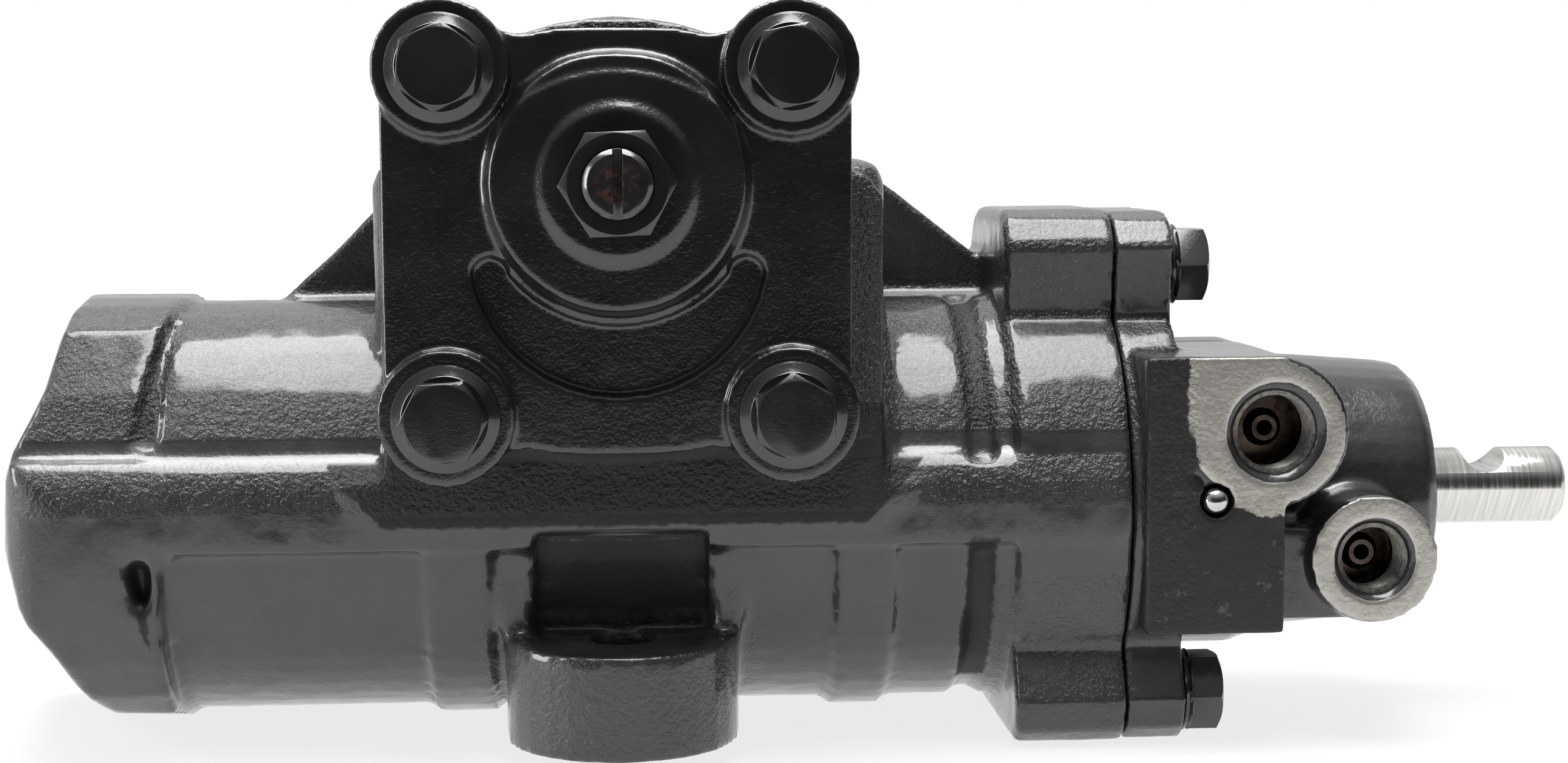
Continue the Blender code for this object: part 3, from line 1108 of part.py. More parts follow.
def valve_housing():
    body = turned("valve_housing", barrel_profile(), 40)
    place(body, (0, 0, 0), ALONG_WORM)
    block = box("port_block", (PORT_BLOCK_LEFT, PORT_FACE_Y, PORT_BLOCK_BOTTOM),
                (PORT_BLOCK_RIGHT, -0.010, PORT_BLOCK_TOP))
    upper = crosswise("upper_port_boss", UPPER_PORT_BOSS_RADIUS, *UPPER_PORT, PORT_FACE_Y + 0.0002, -0.010, 32)
    lower = crosswise("lower_port_boss", LOWER_PORT_BOSS_RADIUS, *LOWER_PORT, LOWER_PORT_FACE_Y, -0.010, 28)
    lower_x, lower_z = LOWER_PORT
    web = box("lower_web", (PORT_BLOCK_RIGHT - 0.006, -0.0505, lower_z - LOWER_PORT_BOSS_RADIUS + 0.0006),
              (lower_x, -0.010, lower_z + 0.008))
    flange = side_plate("valve_flange", flange_outline(), VALVE_FACE_X, VALVE_SEAT_X)
    joined(body, flange, block, upper, lower, web)
    stepped = [(BARREL_END_X + 0.01, 0), (BARREL_END_X + 0.01, INPUT_SEAL_RADIUS + SEAT_GAP),
               (INPUT_SEAL_X - SEAT_GAP, INPUT_SEAL_RADIUS + SEAT_GAP),
               (INPUT_SEAL_X - SEAT_GAP, STUB_BEARING_RADIUS + SEAT_GAP),
               (SLEEVE_BORE_END_X, STUB_BEARING_RADIUS + SEAT_GAP), (SLEEVE_BORE_END_X, SLEEVE_OUTER_BORE),
               (SLEEVE_BORE_X, SLEEVE_OUTER_BORE), (SLEEVE_BORE_X, COLLAR_RADIUS + 0.0015),
               (LEFT_THRUST_X - SEAT_GAP, COLLAR_RADIUS + 0.0015),
               (LEFT_THRUST_X - SEAT_GAP, RETAINER_RADIUS + SEAT_GAP),
               (SPIGOT_START_X - 0.01, RETAINER_RADIUS + SEAT_GAP), (SPIGOT_START_X - 0.01, 0)]
    bores = place(turned("valve_bores", stepped, 32, cutter=True), (0, 0, 0), ALONG_WORM)
    groove = lengthwise("input_ring_groove", INPUT_SEAL_RADIUS + SNAP_GROOVE_DEPTH + SEAT_GAP, 0, 0,
                        INPUT_RING_X - SEAT_GAP, INPUT_RING_X + SNAP_RING_LENGTH + SEAT_GAP, 24)
    ports = port_cutters("upper_port", UPPER_PORT, PORT_FACE_Y, UPPER_PORT_RADIUS, UPPER_PORT_MOUTH_RADIUS,
                         -0.010)
    ports += port_cutters("lower_port", LOWER_PORT, LOWER_PORT_FACE_Y, LOWER_PORT_RADIUS,
                          LOWER_PORT_MOUTH_RADIUS, -0.019)
    plug_x, plug_z = BALL_PLUG
    plug = crosswise("plug_hole", BALL_PLUG_RADIUS + SEAT_GAP, plug_x, plug_z, PORT_FACE_Y - 0.01,
                     PORT_FACE_Y + 2.4 * BALL_PLUG_RADIUS, 14)
    notch = box("key_notch", (0, -KEY_NOTCH_DEPTH, -KEY_NOTCH_WIDTH / 2),
                (KEY_NOTCH_LENGTH, 0.01, KEY_NOTCH_WIDTH / 2))
    notch.location = (plug_x - 0.0028, PORT_FACE_Y - 0.005 + KEY_NOTCH_DEPTH, plug_z + 0.0046)
    notch.rotation_euler = (0, math.radians(52), 0)
    holes = [lengthwise(f"valve_hole_{i}", BOLT_RADIUS + SEAT_GAP, y, z, VALVE_FACE_X - 0.01,
                        VALVE_SEAT_X + 0.02, 14)
             for i, (y, z, _) in enumerate(valve_bolt_places(), 1)]
    cut(body, bores, groove, *ports, plug, notch, *holes)
    return finished(body, housing_paint())


def valve_housing_trim():
    """The spigot's seal ring, the two port seats and the ball that plugs a drilling."""
    seal = ring("valve_housing_seal", BORE_RADIUS - SEAL_SECTION, BORE_RADIUS - SEAT_GAP / 2, SEAL_SECTION, 32)
    finished(place(seal, (SEAL_X, 0, 0), ALONG_WORM), seal_rubber())
    rows = (("pressure_port_seat", UPPER_PORT, PORT_FACE_Y, UPPER_PORT_RADIUS),
            ("return_port_seat", LOWER_PORT, LOWER_PORT_FACE_Y, LOWER_PORT_RADIUS))
    for name, (x, z), face, radius in rows:
        wide, tall = radius - SEAT_GAP, SEAT_LENGTH
        seat = turned(name, [(tall, SEAT_HOLE_RADIUS), (tall, SEAT_HOLE_RADIUS + 0.0012),
                             (tall * 0.45, SEAT_NIPPLE_RADIUS), (tall * 0.40, wide), (0, wide),
                             (0, SEAT_HOLE_RADIUS)], 16, closed=True)
        place(seat, (x, face + PORT_DEPTH - SEAT_GAP, z), TOWARDS_COVER)
        finished(seat, brass())
    x, z = BALL_PLUG
    ball("passage_ball_plug", BALL_PLUG_RADIUS, (x, PORT_FACE_Y + 0.6 * BALL_PLUG_RADIUS, z), FRAME,
         bearing_steel(), 2)


def ball(name, radius, where, parent, surface, detail):
    def build(work):
        bmesh.ops.create_icosphere(work, subdivisions=detail, radius=radius)
    piece = place(add_mesh(name, mesh_of(name, build)), where, UPRIGHT, parent)
    return finished(piece, surface)


def input_end_rings():
    """The worm's thrust bearings and retainer, and the rings round the input shaft."""
    worm_neck = WORM_RADIUS + RUNNING_GAP
    stub = STUB_RADIUS + RUNNING_GAP
    race = COLLAR_RADIUS + 0.0015 - SEAT_GAP
    rows = (("worm_bearing_retainer", worm_neck + 0.002, RETAINER_RADIUS, RETAINER_X, RETAINER_LENGTH,
             gear_steel()),
            ("left_thrust_bearing", worm_neck, race, LEFT_THRUST_X, THRUST_BEARING_LENGTH, bearing_steel()),
            ("right_thrust_bearing", worm_neck, race, RIGHT_THRUST_X, THRUST_BEARING_LENGTH,
             bearing_steel()),
            ("input_needle_bearing", STUB_JOURNAL_RADIUS + RUNNING_GAP, STUB_BEARING_RADIUS,
             NEEDLE_BEARING_X, NEEDLE_BEARING_LENGTH, bearing_steel()),
            ("input_oil_seal", stub, INPUT_SEAL_RADIUS, INPUT_SEAL_X, INPUT_SEAL_LENGTH, seal_rubber()),
            ("input_seal_ring", stub + 0.003, INPUT_SEAL_RADIUS + SNAP_GROOVE_DEPTH, INPUT_RING_X,
             SNAP_RING_LENGTH, bearing_steel()),
            ("input_dust_seal", stub, INPUT_SEAL_RADIUS, INPUT_DUST_X, INPUT_DUST_LENGTH + 0.0008,
             seal_rubber()))
    for name, inner, outer, left, length, surface in rows:
        finished(place(ring(name, inner, outer, length, 24), (left, 0, 0), ALONG_WORM), surface)


def helix(start, end):
    """Points of the ball track's middle line between two stations along X."""
    count = round((end - start) * TRACK_STEPS / WORM_LEAD)
    points = []
    for i in range(count + 1):
        x = start + WORM_LEAD * i / TRACK_STEPS
        angle = x * TRACK_ANGLE_PER_METRE
        points.append((x, BALL_PITCH_RADIUS * math.cos(angle), BALL_PITCH_RADIUS * math.sin(angle)))
    return points


def track(name, start, end):
    return place(tube_along(name, helix(start, end), TRACK_RADIUS, 8, True), (0, 0, 0))


def worm_shaft():
    """Worm, thrust collar and valve coupling in one turned piece, bored for the torsion bar."""
    profile = [(COUPLING_END_X, 0), (COUPLING_END_X, COUPLING_RADIUS), (COUPLING_X, COUPLING_RADIUS),
               (COUPLING_X, VALVE_NECK_RADIUS), (COLLAR_X + COLLAR_LENGTH, VALVE_NECK_RADIUS),
               (COLLAR_X + COLLAR_LENGTH, COLLAR_RADIUS), (COLLAR_X, COLLAR_RADIUS),
               (COLLAR_X, WORM_RADIUS - 0.0002), (TRACK_END_X + 0.012, WORM_RADIUS - 0.0002),
               (TRACK_END_X + 0.011, WORM_RADIUS), (WORM_LEFT_X + 0.001, WORM_RADIUS),
               (WORM_LEFT_X, WORM_RADIUS - 0.001), (WORM_LEFT_X, 0)]
    worm = place(turned("worm_shaft", profile, 28), (0, 0, 0), ALONG_WORM, WORM_AXIS)
    bore = lengthwise("worm_bore", TORSION_BAR_RADIUS + SEAT_GAP, 0, 0, TORSION_BAR_LEFT_X - SEAT_GAP,
                      COUPLING_END_X + 0.01, 20)
    pin_hole = upright("worm_pin_hole", PIN_RADIUS + SEAT_GAP, WORM_PIN_X, 0, -0.03, 0.03, 12)
    slot = box("tang_slot", (COUPLING_END_X - COUPLING_LENGTH, -TANG_REACH - 0.0015, -TANG_SLOT_HALF_WIDTH),
               (COUPLING_END_X + 0.01, TANG_REACH + 0.0015, TANG_SLOT_HALF_WIDTH))
    sleeve_hole = upright("coupling_pin_hole", PIN_RADIUS + SEAT_GAP, COUPLING_X + COUPLING_LENGTH / 2, 0,
                          COUPLING_RADIUS - 0.004, 0.03, 12)
    cut(worm, track("worm_track", TRACK_START_X, TRACK_END_X), bore, pin_hole, slot, sleeve_hole)
    return finished(worm, gear_steel())


def sleeve_ring_places():
    left = COUPLING_END_X + 0.004
    step = (SLEEVE_END_X - 0.004 - SLEEVE_RING_LENGTH - left) / 2
    return [left + i * step for i in range(3)]


def valve_sleeve():
    """The outer valve body, pinned to the worm, with three ring grooves and a coupling recess."""
    left, recess = COUPLING_X + SEAT_GAP, COUPLING_END_X + SEAT_GAP
    profile = [(SLEEVE_END_X, SLEEVE_RADIUS)]
    for x in reversed(sleeve_ring_places()):
        high, low = x + SLEEVE_RING_LENGTH + SEAT_GAP, x - SEAT_GAP
        floor = SLEEVE_RADIUS - SLEEVE_RING_DEPTH
        profile += [(high, SLEEVE_RADIUS), (high, floor), (low, floor), (low, SLEEVE_RADIUS)]
    profile += [(left, SLEEVE_RADIUS), (left, COUPLING_RADIUS + SEAT_GAP), (recess, COUPLING_RADIUS + SEAT_GAP),
                (recess, SLEEVE_BORE_RADIUS), (SLEEVE_END_X, SLEEVE_BORE_RADIUS)]
    sleeve = place(turned("valve_sleeve", profile, 26, closed=True), (0, 0, 0), ALONG_WORM, WORM_AXIS)
    pin_hole = upright("sleeve_pin_hole", PIN_RADIUS + SEAT_GAP, COUPLING_X + COUPLING_LENGTH / 2, 0, 0, 0.03,
                       12)
    cut(sleeve, pin_hole)
    return finished(sleeve, gear_steel())


def sleeve_trim():
    for i, x in enumerate(sleeve_ring_places(), 1):
        piece = ring(f"sleeve_ring_{i}", SLEEVE_RADIUS - SLEEVE_RING_DEPTH + SEAT_GAP, SLEEVE_RADIUS + 0.00005,
                     SLEEVE_RING_LENGTH, 26)
        finished(place(piece, (x, 0, 0), ALONG_WORM, WORM_AXIS), ring_plastic())
    pin_low, pin_high = COUPLING_RADIUS - 0.0035, SLEEVE_RADIUS - 0.0004
    pin = cylinder("sleeve_pin", PIN_RADIUS, pin_high - pin_low, steps=12, cutter=False)
    place(pin, (COUPLING_X + COUPLING_LENGTH / 2, 0, pin_low), UPRIGHT, WORM_AXIS)
    finished(pin, bearing_steel())


def torsion_bar():
    ends, waist = TORSION_BAR_RADIUS, TORSION_BAR_WAIST
    left, right = TORSION_BAR_LEFT_X, TORSION_BAR_RIGHT_X
    profile = [(right, 0), (right, ends), (right - 0.014, ends), (right - 0.018, waist),
               (left + 0.018, waist), (left + 0.014, ends), (left, ends), (left, 0)]
    bar = place(turned("torsion_bar", profile, 16), (0, 0, 0), ALONG_WORM, WORM_AXIS)
    cut(bar, upright("torsion_hole_worm", PIN_RADIUS + SEAT_GAP, WORM_PIN_X, 0, -0.02, 0.02, 12),
        upright("torsion_hole_input", PIN_RADIUS + TWIST_CLEARANCE, STUB_PIN_X, 0, -0.02, 0.02, 12))
    return finished(bar, bearing_steel())


def torsion_pins():
    rows = (("torsion_pin_worm", WORM_PIN_X, WORM_RADIUS - 0.0015, WORM_AXIS),
            ("torsion_pin_input", STUB_PIN_X, STUB_JOURNAL_RADIUS - 0.0005, INPUT_AXIS))
    for name, x, reach, parent in rows:
        pin = cylinder(name, PIN_RADIUS, 2 * reach, steps=12, cutter=False)
        finished(place(pin, (x, 0, -reach), UPRIGHT, parent), bearing_steel())


def input_shaft():
    """The stub shaft: tang, slotted valve spool, bearing journal and the coupling end."""
    spool_left = COUPLING_END_X + 0.0010
    profile = [(STUB_END_X, 0), (STUB_END_X, STUB_RADIUS - STUB_CHAMFER),
               (STUB_END_X - STUB_CHAMFER, STUB_RADIUS), (INPUT_SEAL_X - SEAT_GAP, STUB_RADIUS),
               (INPUT_SEAL_X - SEAT_GAP, STUB_JOURNAL_RADIUS), (SLEEVE_END_X, STUB_JOURNAL_RADIUS),
               (SLEEVE_END_X, SPOOL_RADIUS), (spool_left, SPOOL_RADIUS), (spool_left, 0)]
    shaft = place(turned("input_shaft", profile, 28), (0, 0, 0), ALONG_WORM, INPUT_AXIS)
    tang = box("valve_tang", (COUPLING_END_X - COUPLING_LENGTH + 0.0008, -TANG_REACH, -TANG_HALF_WIDTH),
               (spool_left + 0.004, TANG_REACH, TANG_HALF_WIDTH))
    bore = lengthwise("stub_bore", TORSION_BAR_RADIUS + SEAT_GAP, 0, 0, COUPLING_X - 0.01,
                      TORSION_BAR_RIGHT_X + SEAT_GAP, 20)
    pin_hole = upright("stub_pin_hole", PIN_RADIUS + SEAT_GAP, STUB_PIN_X, 0, -0.03, 0.03, 12)
    flat = box("coupling_flat", (-0.022, -0.020, -0.020), (0.022, 0.0, 0.020))
    middle = (INPUT_DUST_X + 0.006 + STUB_END_X + 0.001) / 2 + 0.001
    flat.rotation_euler = (FLAT_TILT, 0, 0)
    depth = STUB_RADIUS - FLAT_DEPTH + 0.010
    flat.location = (middle, -depth * math.cos(FLAT_TILT), -depth * math.sin(FLAT_TILT))
    notch = crosswise("pinch_notch", NOTCH_RADIUS, NOTCH_X, NOTCH_HEIGHT, -0.02, 0.02, 24)
    slots = []
    for i in range(SPOOL_SLOTS):
        slot = box(f"spool_slot_{i + 1}", (-0.016, -0.002, -0.005), (0.016, 0.002, 0.005))
        angle = 2 * math.pi * i / SPOOL_SLOTS
        reach = SPOOL_RADIUS - SPOOL_SLOT_DEPTH + 0.005
        slot.rotation_euler = (angle, 0, 0)
        slot.location = ((spool_left + SLEEVE_END_X) / 2, -reach * math.sin(angle), reach * math.cos(angle))
        slots.append(slot)
    joined(shaft, tang)
    cut(shaft, bore, pin_hole, flat, notch, *slots)
    return finished(shaft, bright_steel())


def rack_outline():
    """What is cut away above the rack: a trapezoid space for each sector tooth, drawn in X and Z."""
    tip, root = RACK_HEIGHT + ADDENDUM, RACK_HEIGHT - DEDENDUM
    slope = math.tan(PRESSURE_ANGLE)
    half = TOOTH_PITCH / 4 + BACKLASH / 4
    spaces = range(SECTOR_TEETH)
    lower = []
    for space in spaces:
        middle = (space - (SECTOR_TEETH - 1) / 2) * TOOTH_PITCH
        wide, narrow = half + ADDENDUM * slope, half - DEDENDUM * slope
        lower += [(middle - wide, tip), (middle - narrow, root), (middle + narrow, root), (middle + wide, tip)]
    reach = lower[-1][0] + 0.0040
    rise = PISTON_RADIUS + 0.004 - tip
    return [(-reach - rise, tip + rise), (-reach, tip)] + lower + [(reach, tip), (reach + rise, tip + rise)]


def rack_piston():
    """Piston, rack and ball nut in one piece."""
    groove_left, groove_right = PISTON_RING_X - SEAT_GAP, PISTON_RING_X + PISTON_RING_LENGTH + SEAT_GAP
    groove_radius = PISTON_RADIUS - PISTON_RING_DEPTH - SEAT_GAP
    profile = [(PISTON_RIGHT_X, 0), (PISTON_RIGHT_X, PISTON_RADIUS - 0.0015),
               (PISTON_RIGHT_X - 0.0015, PISTON_RADIUS), (groove_right, PISTON_RADIUS),
               (groove_right, groove_radius), (groove_left, groove_radius), (groove_left, PISTON_RADIUS),
               (PISTON_LEFT_X + 0.0015, PISTON_RADIUS), (PISTON_LEFT_X, PISTON_RADIUS - 0.0015),
               (PISTON_LEFT_X, 0)]
    piston = place(turned("rack_piston", profile, 40), (0, 0, 0), ALONG_WORM, PISTON_LINE)
    rack = front_plate("rack_spaces", rack_outline(), -0.060, 0.060)
    bore = lengthwise("nut_bore", PISTON_BORE_RADIUS, 0, 0, PISTON_BORE_END_X, PISTON_RIGHT_X + 0.01, 24)
    first, last = GUIDE_LEG_XS
    pocket = box("guide_pocket", (first - 0.009, -GUIDE_POCKET_HALF_WIDTH, -0.060),
                 (last + 0.009, GUIDE_POCKET_HALF_WIDTH, GUIDE_FLOOR))
    legs = [upright(f"guide_hole_{i}", GUIDE_RADIUS + SEAT_GAP, x, 0, -0.050, -BALL_PITCH_RADIUS, 16)
            for i, x in enumerate(GUIDE_LEG_XS, 1)]
    screws = [upright(f"clamp_hole_{i}", CLAMP_SCREW_RADIUS + SEAT_GAP, (first + last) / 2, y, -0.050,
                      GUIDE_FLOOR + 0.006, 12)
              for i, y in enumerate((-CLAMP_SCREW_Y, CLAMP_SCREW_Y), 1)]
    cut(piston, rack, bore, track("nut_track", NUT_TRACK_START_X, NUT_TRACK_END_X), pocket, *legs, *screws)
    return finished(piston, gear_steel())


def guide_line_height():
    return GUIDE_FLOOR - SEAT_GAP - GUIDE_RADIUS


def piston_trim():
    """The piston's sealing ring and the clamped tube that leads the balls back."""
    seal = ring("piston_ring", PISTON_RADIUS - PISTON_RING_DEPTH, PISTON_RADIUS + 0.0001,
                PISTON_RING_LENGTH, 32)
    finished(place(seal, (PISTON_RING_X, 0, 0), ALONG_WORM, PISTON_LINE), ring_plastic())
    first, last = GUIDE_LEG_XS
    line = guide_line_height()
    top = -BALL_PITCH_RADIUS - 0.0055
    bend = 0.0045
    points = [(first, 0, top), (first, 0, line + bend), (first + 0.3 * bend, 0, line + 0.3 * bend),
              (first + bend, 0, line), (last - bend, 0, line), (last - 0.3 * bend, 0, line + 0.3 * bend),
              (last, 0, line + bend), (last, 0, top)]
    guide = tube_along("ball_guide", points, GUIDE_RADIUS, 10, False)
    finished(place(guide, (0, 0, 0), UPRIGHT, PISTON_LINE), bearing_steel())
    clamp_top = line - GUIDE_RADIUS - SEAT_GAP
    middle = (first + last) / 2
    clamp = box("guide_clamp", (middle - 0.006, -0.0118, clamp_top - CLAMP_THICKNESS),
                (middle + 0.006, 0.0118, clamp_top), cutter=False)
    clamp.parent = PISTON_LINE
    cut(clamp, *[upright(f"strap_hole_{i}", CLAMP_SCREW_RADIUS + SEAT_GAP, middle, y, -0.060, 0, 12)
                 for i, y in enumerate((-CLAMP_SCREW_Y, CLAMP_SCREW_Y), 1)])
    finished(clamp, bearing_steel())
    under = clamp_top - CLAMP_THICKNESS - SEAT_GAP
    for i, y in enumerate((-CLAMP_SCREW_Y, CLAMP_SCREW_Y), 1):
        screw = turned(f"clamp_screw_{i}", [(GUIDE_FLOOR + 0.005, 0), (GUIDE_FLOOR + 0.005, CLAMP_SCREW_RADIUS),
                                            (under, CLAMP_SCREW_RADIUS), (under, CLAMP_SCREW_HEAD_RADIUS),
                                            (under - 0.0010, CLAMP_SCREW_HEAD_RADIUS - 0.0008),
                                            (under - 0.0010, 0)], 16)
        finished(place(screw, (middle, y, 0), UPRIGHT, PISTON_LINE), bearing_steel())


def recirculating_balls():
    turn_length = math.hypot(2 * math.pi * BALL_PITCH_RADIUS, WORM_LEAD)
    x_step = BALL_SPACING / turn_length * WORM_LEAD
    for i in range(BALL_COUNT):
        x = BALL_START_X + i * x_step
        angle = x * TRACK_ANGLE_PER_METRE
        where = (x, BALL_PITCH_RADIUS * math.cos(angle), BALL_PITCH_RADIUS * math.sin(angle))
        ball(f"ball_{i + 1:02d}", BALL_RADIUS, where, PISTON_LINE, bearing_steel(), 2)


gear_housing()
side_cover()
side_cover_gasket()
cover_bolts()
adjuster_screw()
adjuster_shim()
adjuster_lock_nut()
sector_shaft()
sector_bearings_and_seals()
pitman_fasteners()
valve_housing()
valve_housing_trim()
valve_bolts()
input_end_rings()
worm_shaft()
valve_sleeve()
sleeve_trim()
torsion_bar()
torsion_pins()
input_shaft()
rack_piston()
piston_trim()
recirculating_balls()
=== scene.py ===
import math

import bpy
from mathutils import Matrix, Vector


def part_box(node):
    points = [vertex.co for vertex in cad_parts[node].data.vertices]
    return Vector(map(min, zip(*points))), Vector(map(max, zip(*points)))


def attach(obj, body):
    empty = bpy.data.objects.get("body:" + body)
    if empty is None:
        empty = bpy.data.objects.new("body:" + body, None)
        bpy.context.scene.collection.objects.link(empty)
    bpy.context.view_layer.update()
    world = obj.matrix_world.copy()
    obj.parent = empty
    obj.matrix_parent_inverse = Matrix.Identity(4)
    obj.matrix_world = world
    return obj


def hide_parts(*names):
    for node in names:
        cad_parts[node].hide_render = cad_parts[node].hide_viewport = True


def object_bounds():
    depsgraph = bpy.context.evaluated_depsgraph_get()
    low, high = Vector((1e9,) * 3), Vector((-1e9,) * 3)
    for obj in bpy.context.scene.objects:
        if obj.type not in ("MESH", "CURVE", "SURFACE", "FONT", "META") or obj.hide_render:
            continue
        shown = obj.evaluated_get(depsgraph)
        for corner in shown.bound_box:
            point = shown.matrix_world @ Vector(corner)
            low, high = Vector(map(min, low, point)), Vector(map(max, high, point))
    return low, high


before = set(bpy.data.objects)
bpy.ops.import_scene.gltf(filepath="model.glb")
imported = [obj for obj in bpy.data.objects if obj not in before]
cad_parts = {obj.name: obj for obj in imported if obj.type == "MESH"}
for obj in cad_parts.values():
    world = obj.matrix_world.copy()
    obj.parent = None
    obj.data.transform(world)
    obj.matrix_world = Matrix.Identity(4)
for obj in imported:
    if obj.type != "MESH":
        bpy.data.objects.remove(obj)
cad_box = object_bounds()

# The studio: a camera at the photograph's angle, a pale floor under the gear, one broad soft lamp
# overhead and a narrow one at the left. The side behind the camera stays dark, as it was there.
# GEAR_ORIGIN is the point of the worm's axis below the sector shaft.
GEAR_ORIGIN = Vector((-0.045619372, -0.019, 0.0574))
CAMERA_PLACE = Vector((-0.000057, -0.63784, 0.089653))
CAMERA_DOWN = math.radians(5.345)
CAMERA_RIGHT = math.radians(3.853)
CAMERA_ROLL = math.radians(0.292)
FOCAL_LENGTH = 56.30


def aim_of_camera():
    """The camera's own axes as a matrix: looking down a little and to the right."""
    down, right = CAMERA_DOWN, CAMERA_RIGHT
    ahead = Vector((math.sin(right) * math.cos(down), math.cos(right) * math.cos(down), -math.sin(down)))
    side = Vector((math.cos(right), -math.sin(right), 0))
    rise = side.cross(ahead)
    across = side * math.cos(CAMERA_ROLL) - rise * math.sin(CAMERA_ROLL)
    upward = side * math.sin(CAMERA_ROLL) + rise * math.cos(CAMERA_ROLL)
    return Matrix((across, upward, -ahead)).transposed().to_4x4()


lens = bpy.data.cameras.new("camera")
lens.lens = FOCAL_LENGTH
lens.clip_start = 0.02
camera = bpy.data.objects.new("camera", lens)
bpy.context.scene.collection.objects.link(camera)
camera.matrix_world = Matrix.Translation(CAMERA_PLACE + GEAR_ORIGIN) @ aim_of_camera()
bpy.context.scene.camera = camera
bpy.context.scene.view_settings.view_transform = "Standard"


def put(tree, kind, inputs=None, **settings):
    """Adds a shader node. Each input is given a plain value, or the socket that feeds it."""
    made = tree.nodes.new(kind)
    for name, value in settings.items():
        setattr(made, name, value)
    for key, value in (inputs or {}).items():
        if isinstance(value, bpy.types.NodeSocket):
            tree.links.new(value, made.inputs[key])
        else:
            made.inputs[key].default_value = value
    return made


def maths(tree, operation, first, second=0.0):
    return put(tree, "ShaderNodeMath", {0: first, 1: second}, operation=operation).outputs[0]


def fade(tree, value, low, high, start=0.0, end=1.0):
    """Goes smoothly from `start` to `end` as the value goes from `low` to `high`."""
    inputs = {"Value": value, "From Min": low, "From Max": high, "To Min": start, "To Max": end}
    return put(tree, "ShaderNodeMapRange", inputs, interpolation_type="SMOOTHSTEP").outputs[0]


def seen_directly(tree):
    """1 for what the camera sees straight, in a mirror-like surface or through glass."""
    path = put(tree, "ShaderNodeLightPath")
    shown = maths(tree, "MAXIMUM", path.outputs["Is Camera Ray"], path.outputs["Is Glossy Ray"])
    return maths(tree, "MAXIMUM", shown, path.outputs["Is Transmission Ray"])


bpy.ops.object.select_all(action="DESELECT")
FLOOR_SIZE = 6.0
FLOOR_FRONT = GEAR_ORIGIN.y - 0.50
FLOOR_LEVEL = cad_box[0].z - 0.0004
bpy.ops.mesh.primitive_plane_add(size=FLOOR_SIZE, location=(0, FLOOR_FRONT + FLOOR_SIZE / 2, FLOOR_LEVEL))
floor = bpy.context.object
floor.name = "floor"
floor_white = bpy.data.materials.new("floor_white")
floor_white.use_nodes = True
tree = floor_white.node_tree
tree.nodes.clear()
lit = put(tree, "ShaderNodeBsdfDiffuse", {"Color": (0.90, 0.90, 0.895, 1)})
plain = put(tree, "ShaderNodeEmission", {"Color": (1.0, 1.0, 1.0, 1), "Strength": 1.0})
spot = put(tree, "ShaderNodeNewGeometry").outputs["Position"]
away = put(tree, "ShaderNodeVectorMath", {0: spot}, operation="LENGTH").outputs["Value"]
share = maths(tree, "MULTIPLY", seen_directly(tree), fade(tree, away, 0.25, 0.90, 0.80, 1.0))
mixed = put(tree, "ShaderNodeMixShader", {0: share, 1: lit.outputs[0], 2: plain.outputs[0]})
put(tree, "ShaderNodeOutputMaterial", {"Surface": mixed.outputs[0]})
floor.data.materials.append(floor_white)

world = bpy.data.worlds.new("studio")
bpy.context.scene.world = world
world.use_nodes = True
tree = world.node_tree
tree.nodes.clear()
toward = put(tree, "ShaderNodeSeparateXYZ", {0: put(tree, "ShaderNodeTexCoord").outputs["Generated"]})
overhead = fade(tree, toward.outputs["Z"], 0.30, 0.90, 0.05, 0.55)
behind_gear = fade(tree, toward.outputs["Y"], 0.1, 0.8, 0.0, 0.60)
left_side = fade(tree, maths(tree, "MULTIPLY", toward.outputs["X"], -1.0), 0.55, 0.95, 0.0, 0.30)
room = maths(tree, "ADD", maths(tree, "ADD", overhead, behind_gear), left_side)
dim = put(tree, "ShaderNodeBackground", {"Color": (1.0, 1.0, 1.0, 1), "Strength": room})
white = put(tree, "ShaderNodeBackground", {"Color": (1.0, 1.0, 1.0, 1), "Strength": 1.0})
only_camera = put(tree, "ShaderNodeLightPath").outputs["Is Camera Ray"]
mixed = put(tree, "ShaderNodeMixShader", {0: only_camera, 1: dim.outputs[0], 2: white.outputs[0]})
put(tree, "ShaderNodeOutputWorld", {"Surface": mixed.outputs[0]})


def soft_lamp(name, place, target, size, power):
    """A square area lamp that looks at the target."""
    lamp = bpy.data.lights.new(name, "AREA")
    lamp.shape = "RECTANGLE"
    lamp.size, lamp.size_y = size
    lamp.energy = power
    holder = bpy.data.objects.new(name, lamp)
    bpy.context.scene.collection.objects.link(holder)
    holder.location = place
    holder.rotation_euler = (Vector(target) - Vector(place)).to_track_quat("-Z", "Y").to_euler()


soft_lamp("overhead_lamp", (-0.05, -0.05, 1.10), (0, 0, 0.08), (1.0, 0.75), 23.0)
soft_lamp("left_lamp", (-1.10, -0.15, 0.35), (-0.05, 0, 0.08), (0.22, 0.8), 6.0)

# The gear housing: one sand casting in ductile iron that holds the cylinder, the tower round the
# sector shaft and the mounting lugs. It is machined where parts meet and painted semi-gloss black.
HOUSING_VOXEL = 0.0013
MOST_TRIANGLES = 190000


def only(piece):
    """Selects this piece and nothing else."""
    bpy.ops.object.select_all(action="DESELECT")
    piece.hide_set(False)
    piece.select_set(True)
    bpy.context.view_layer.objects.active = piece


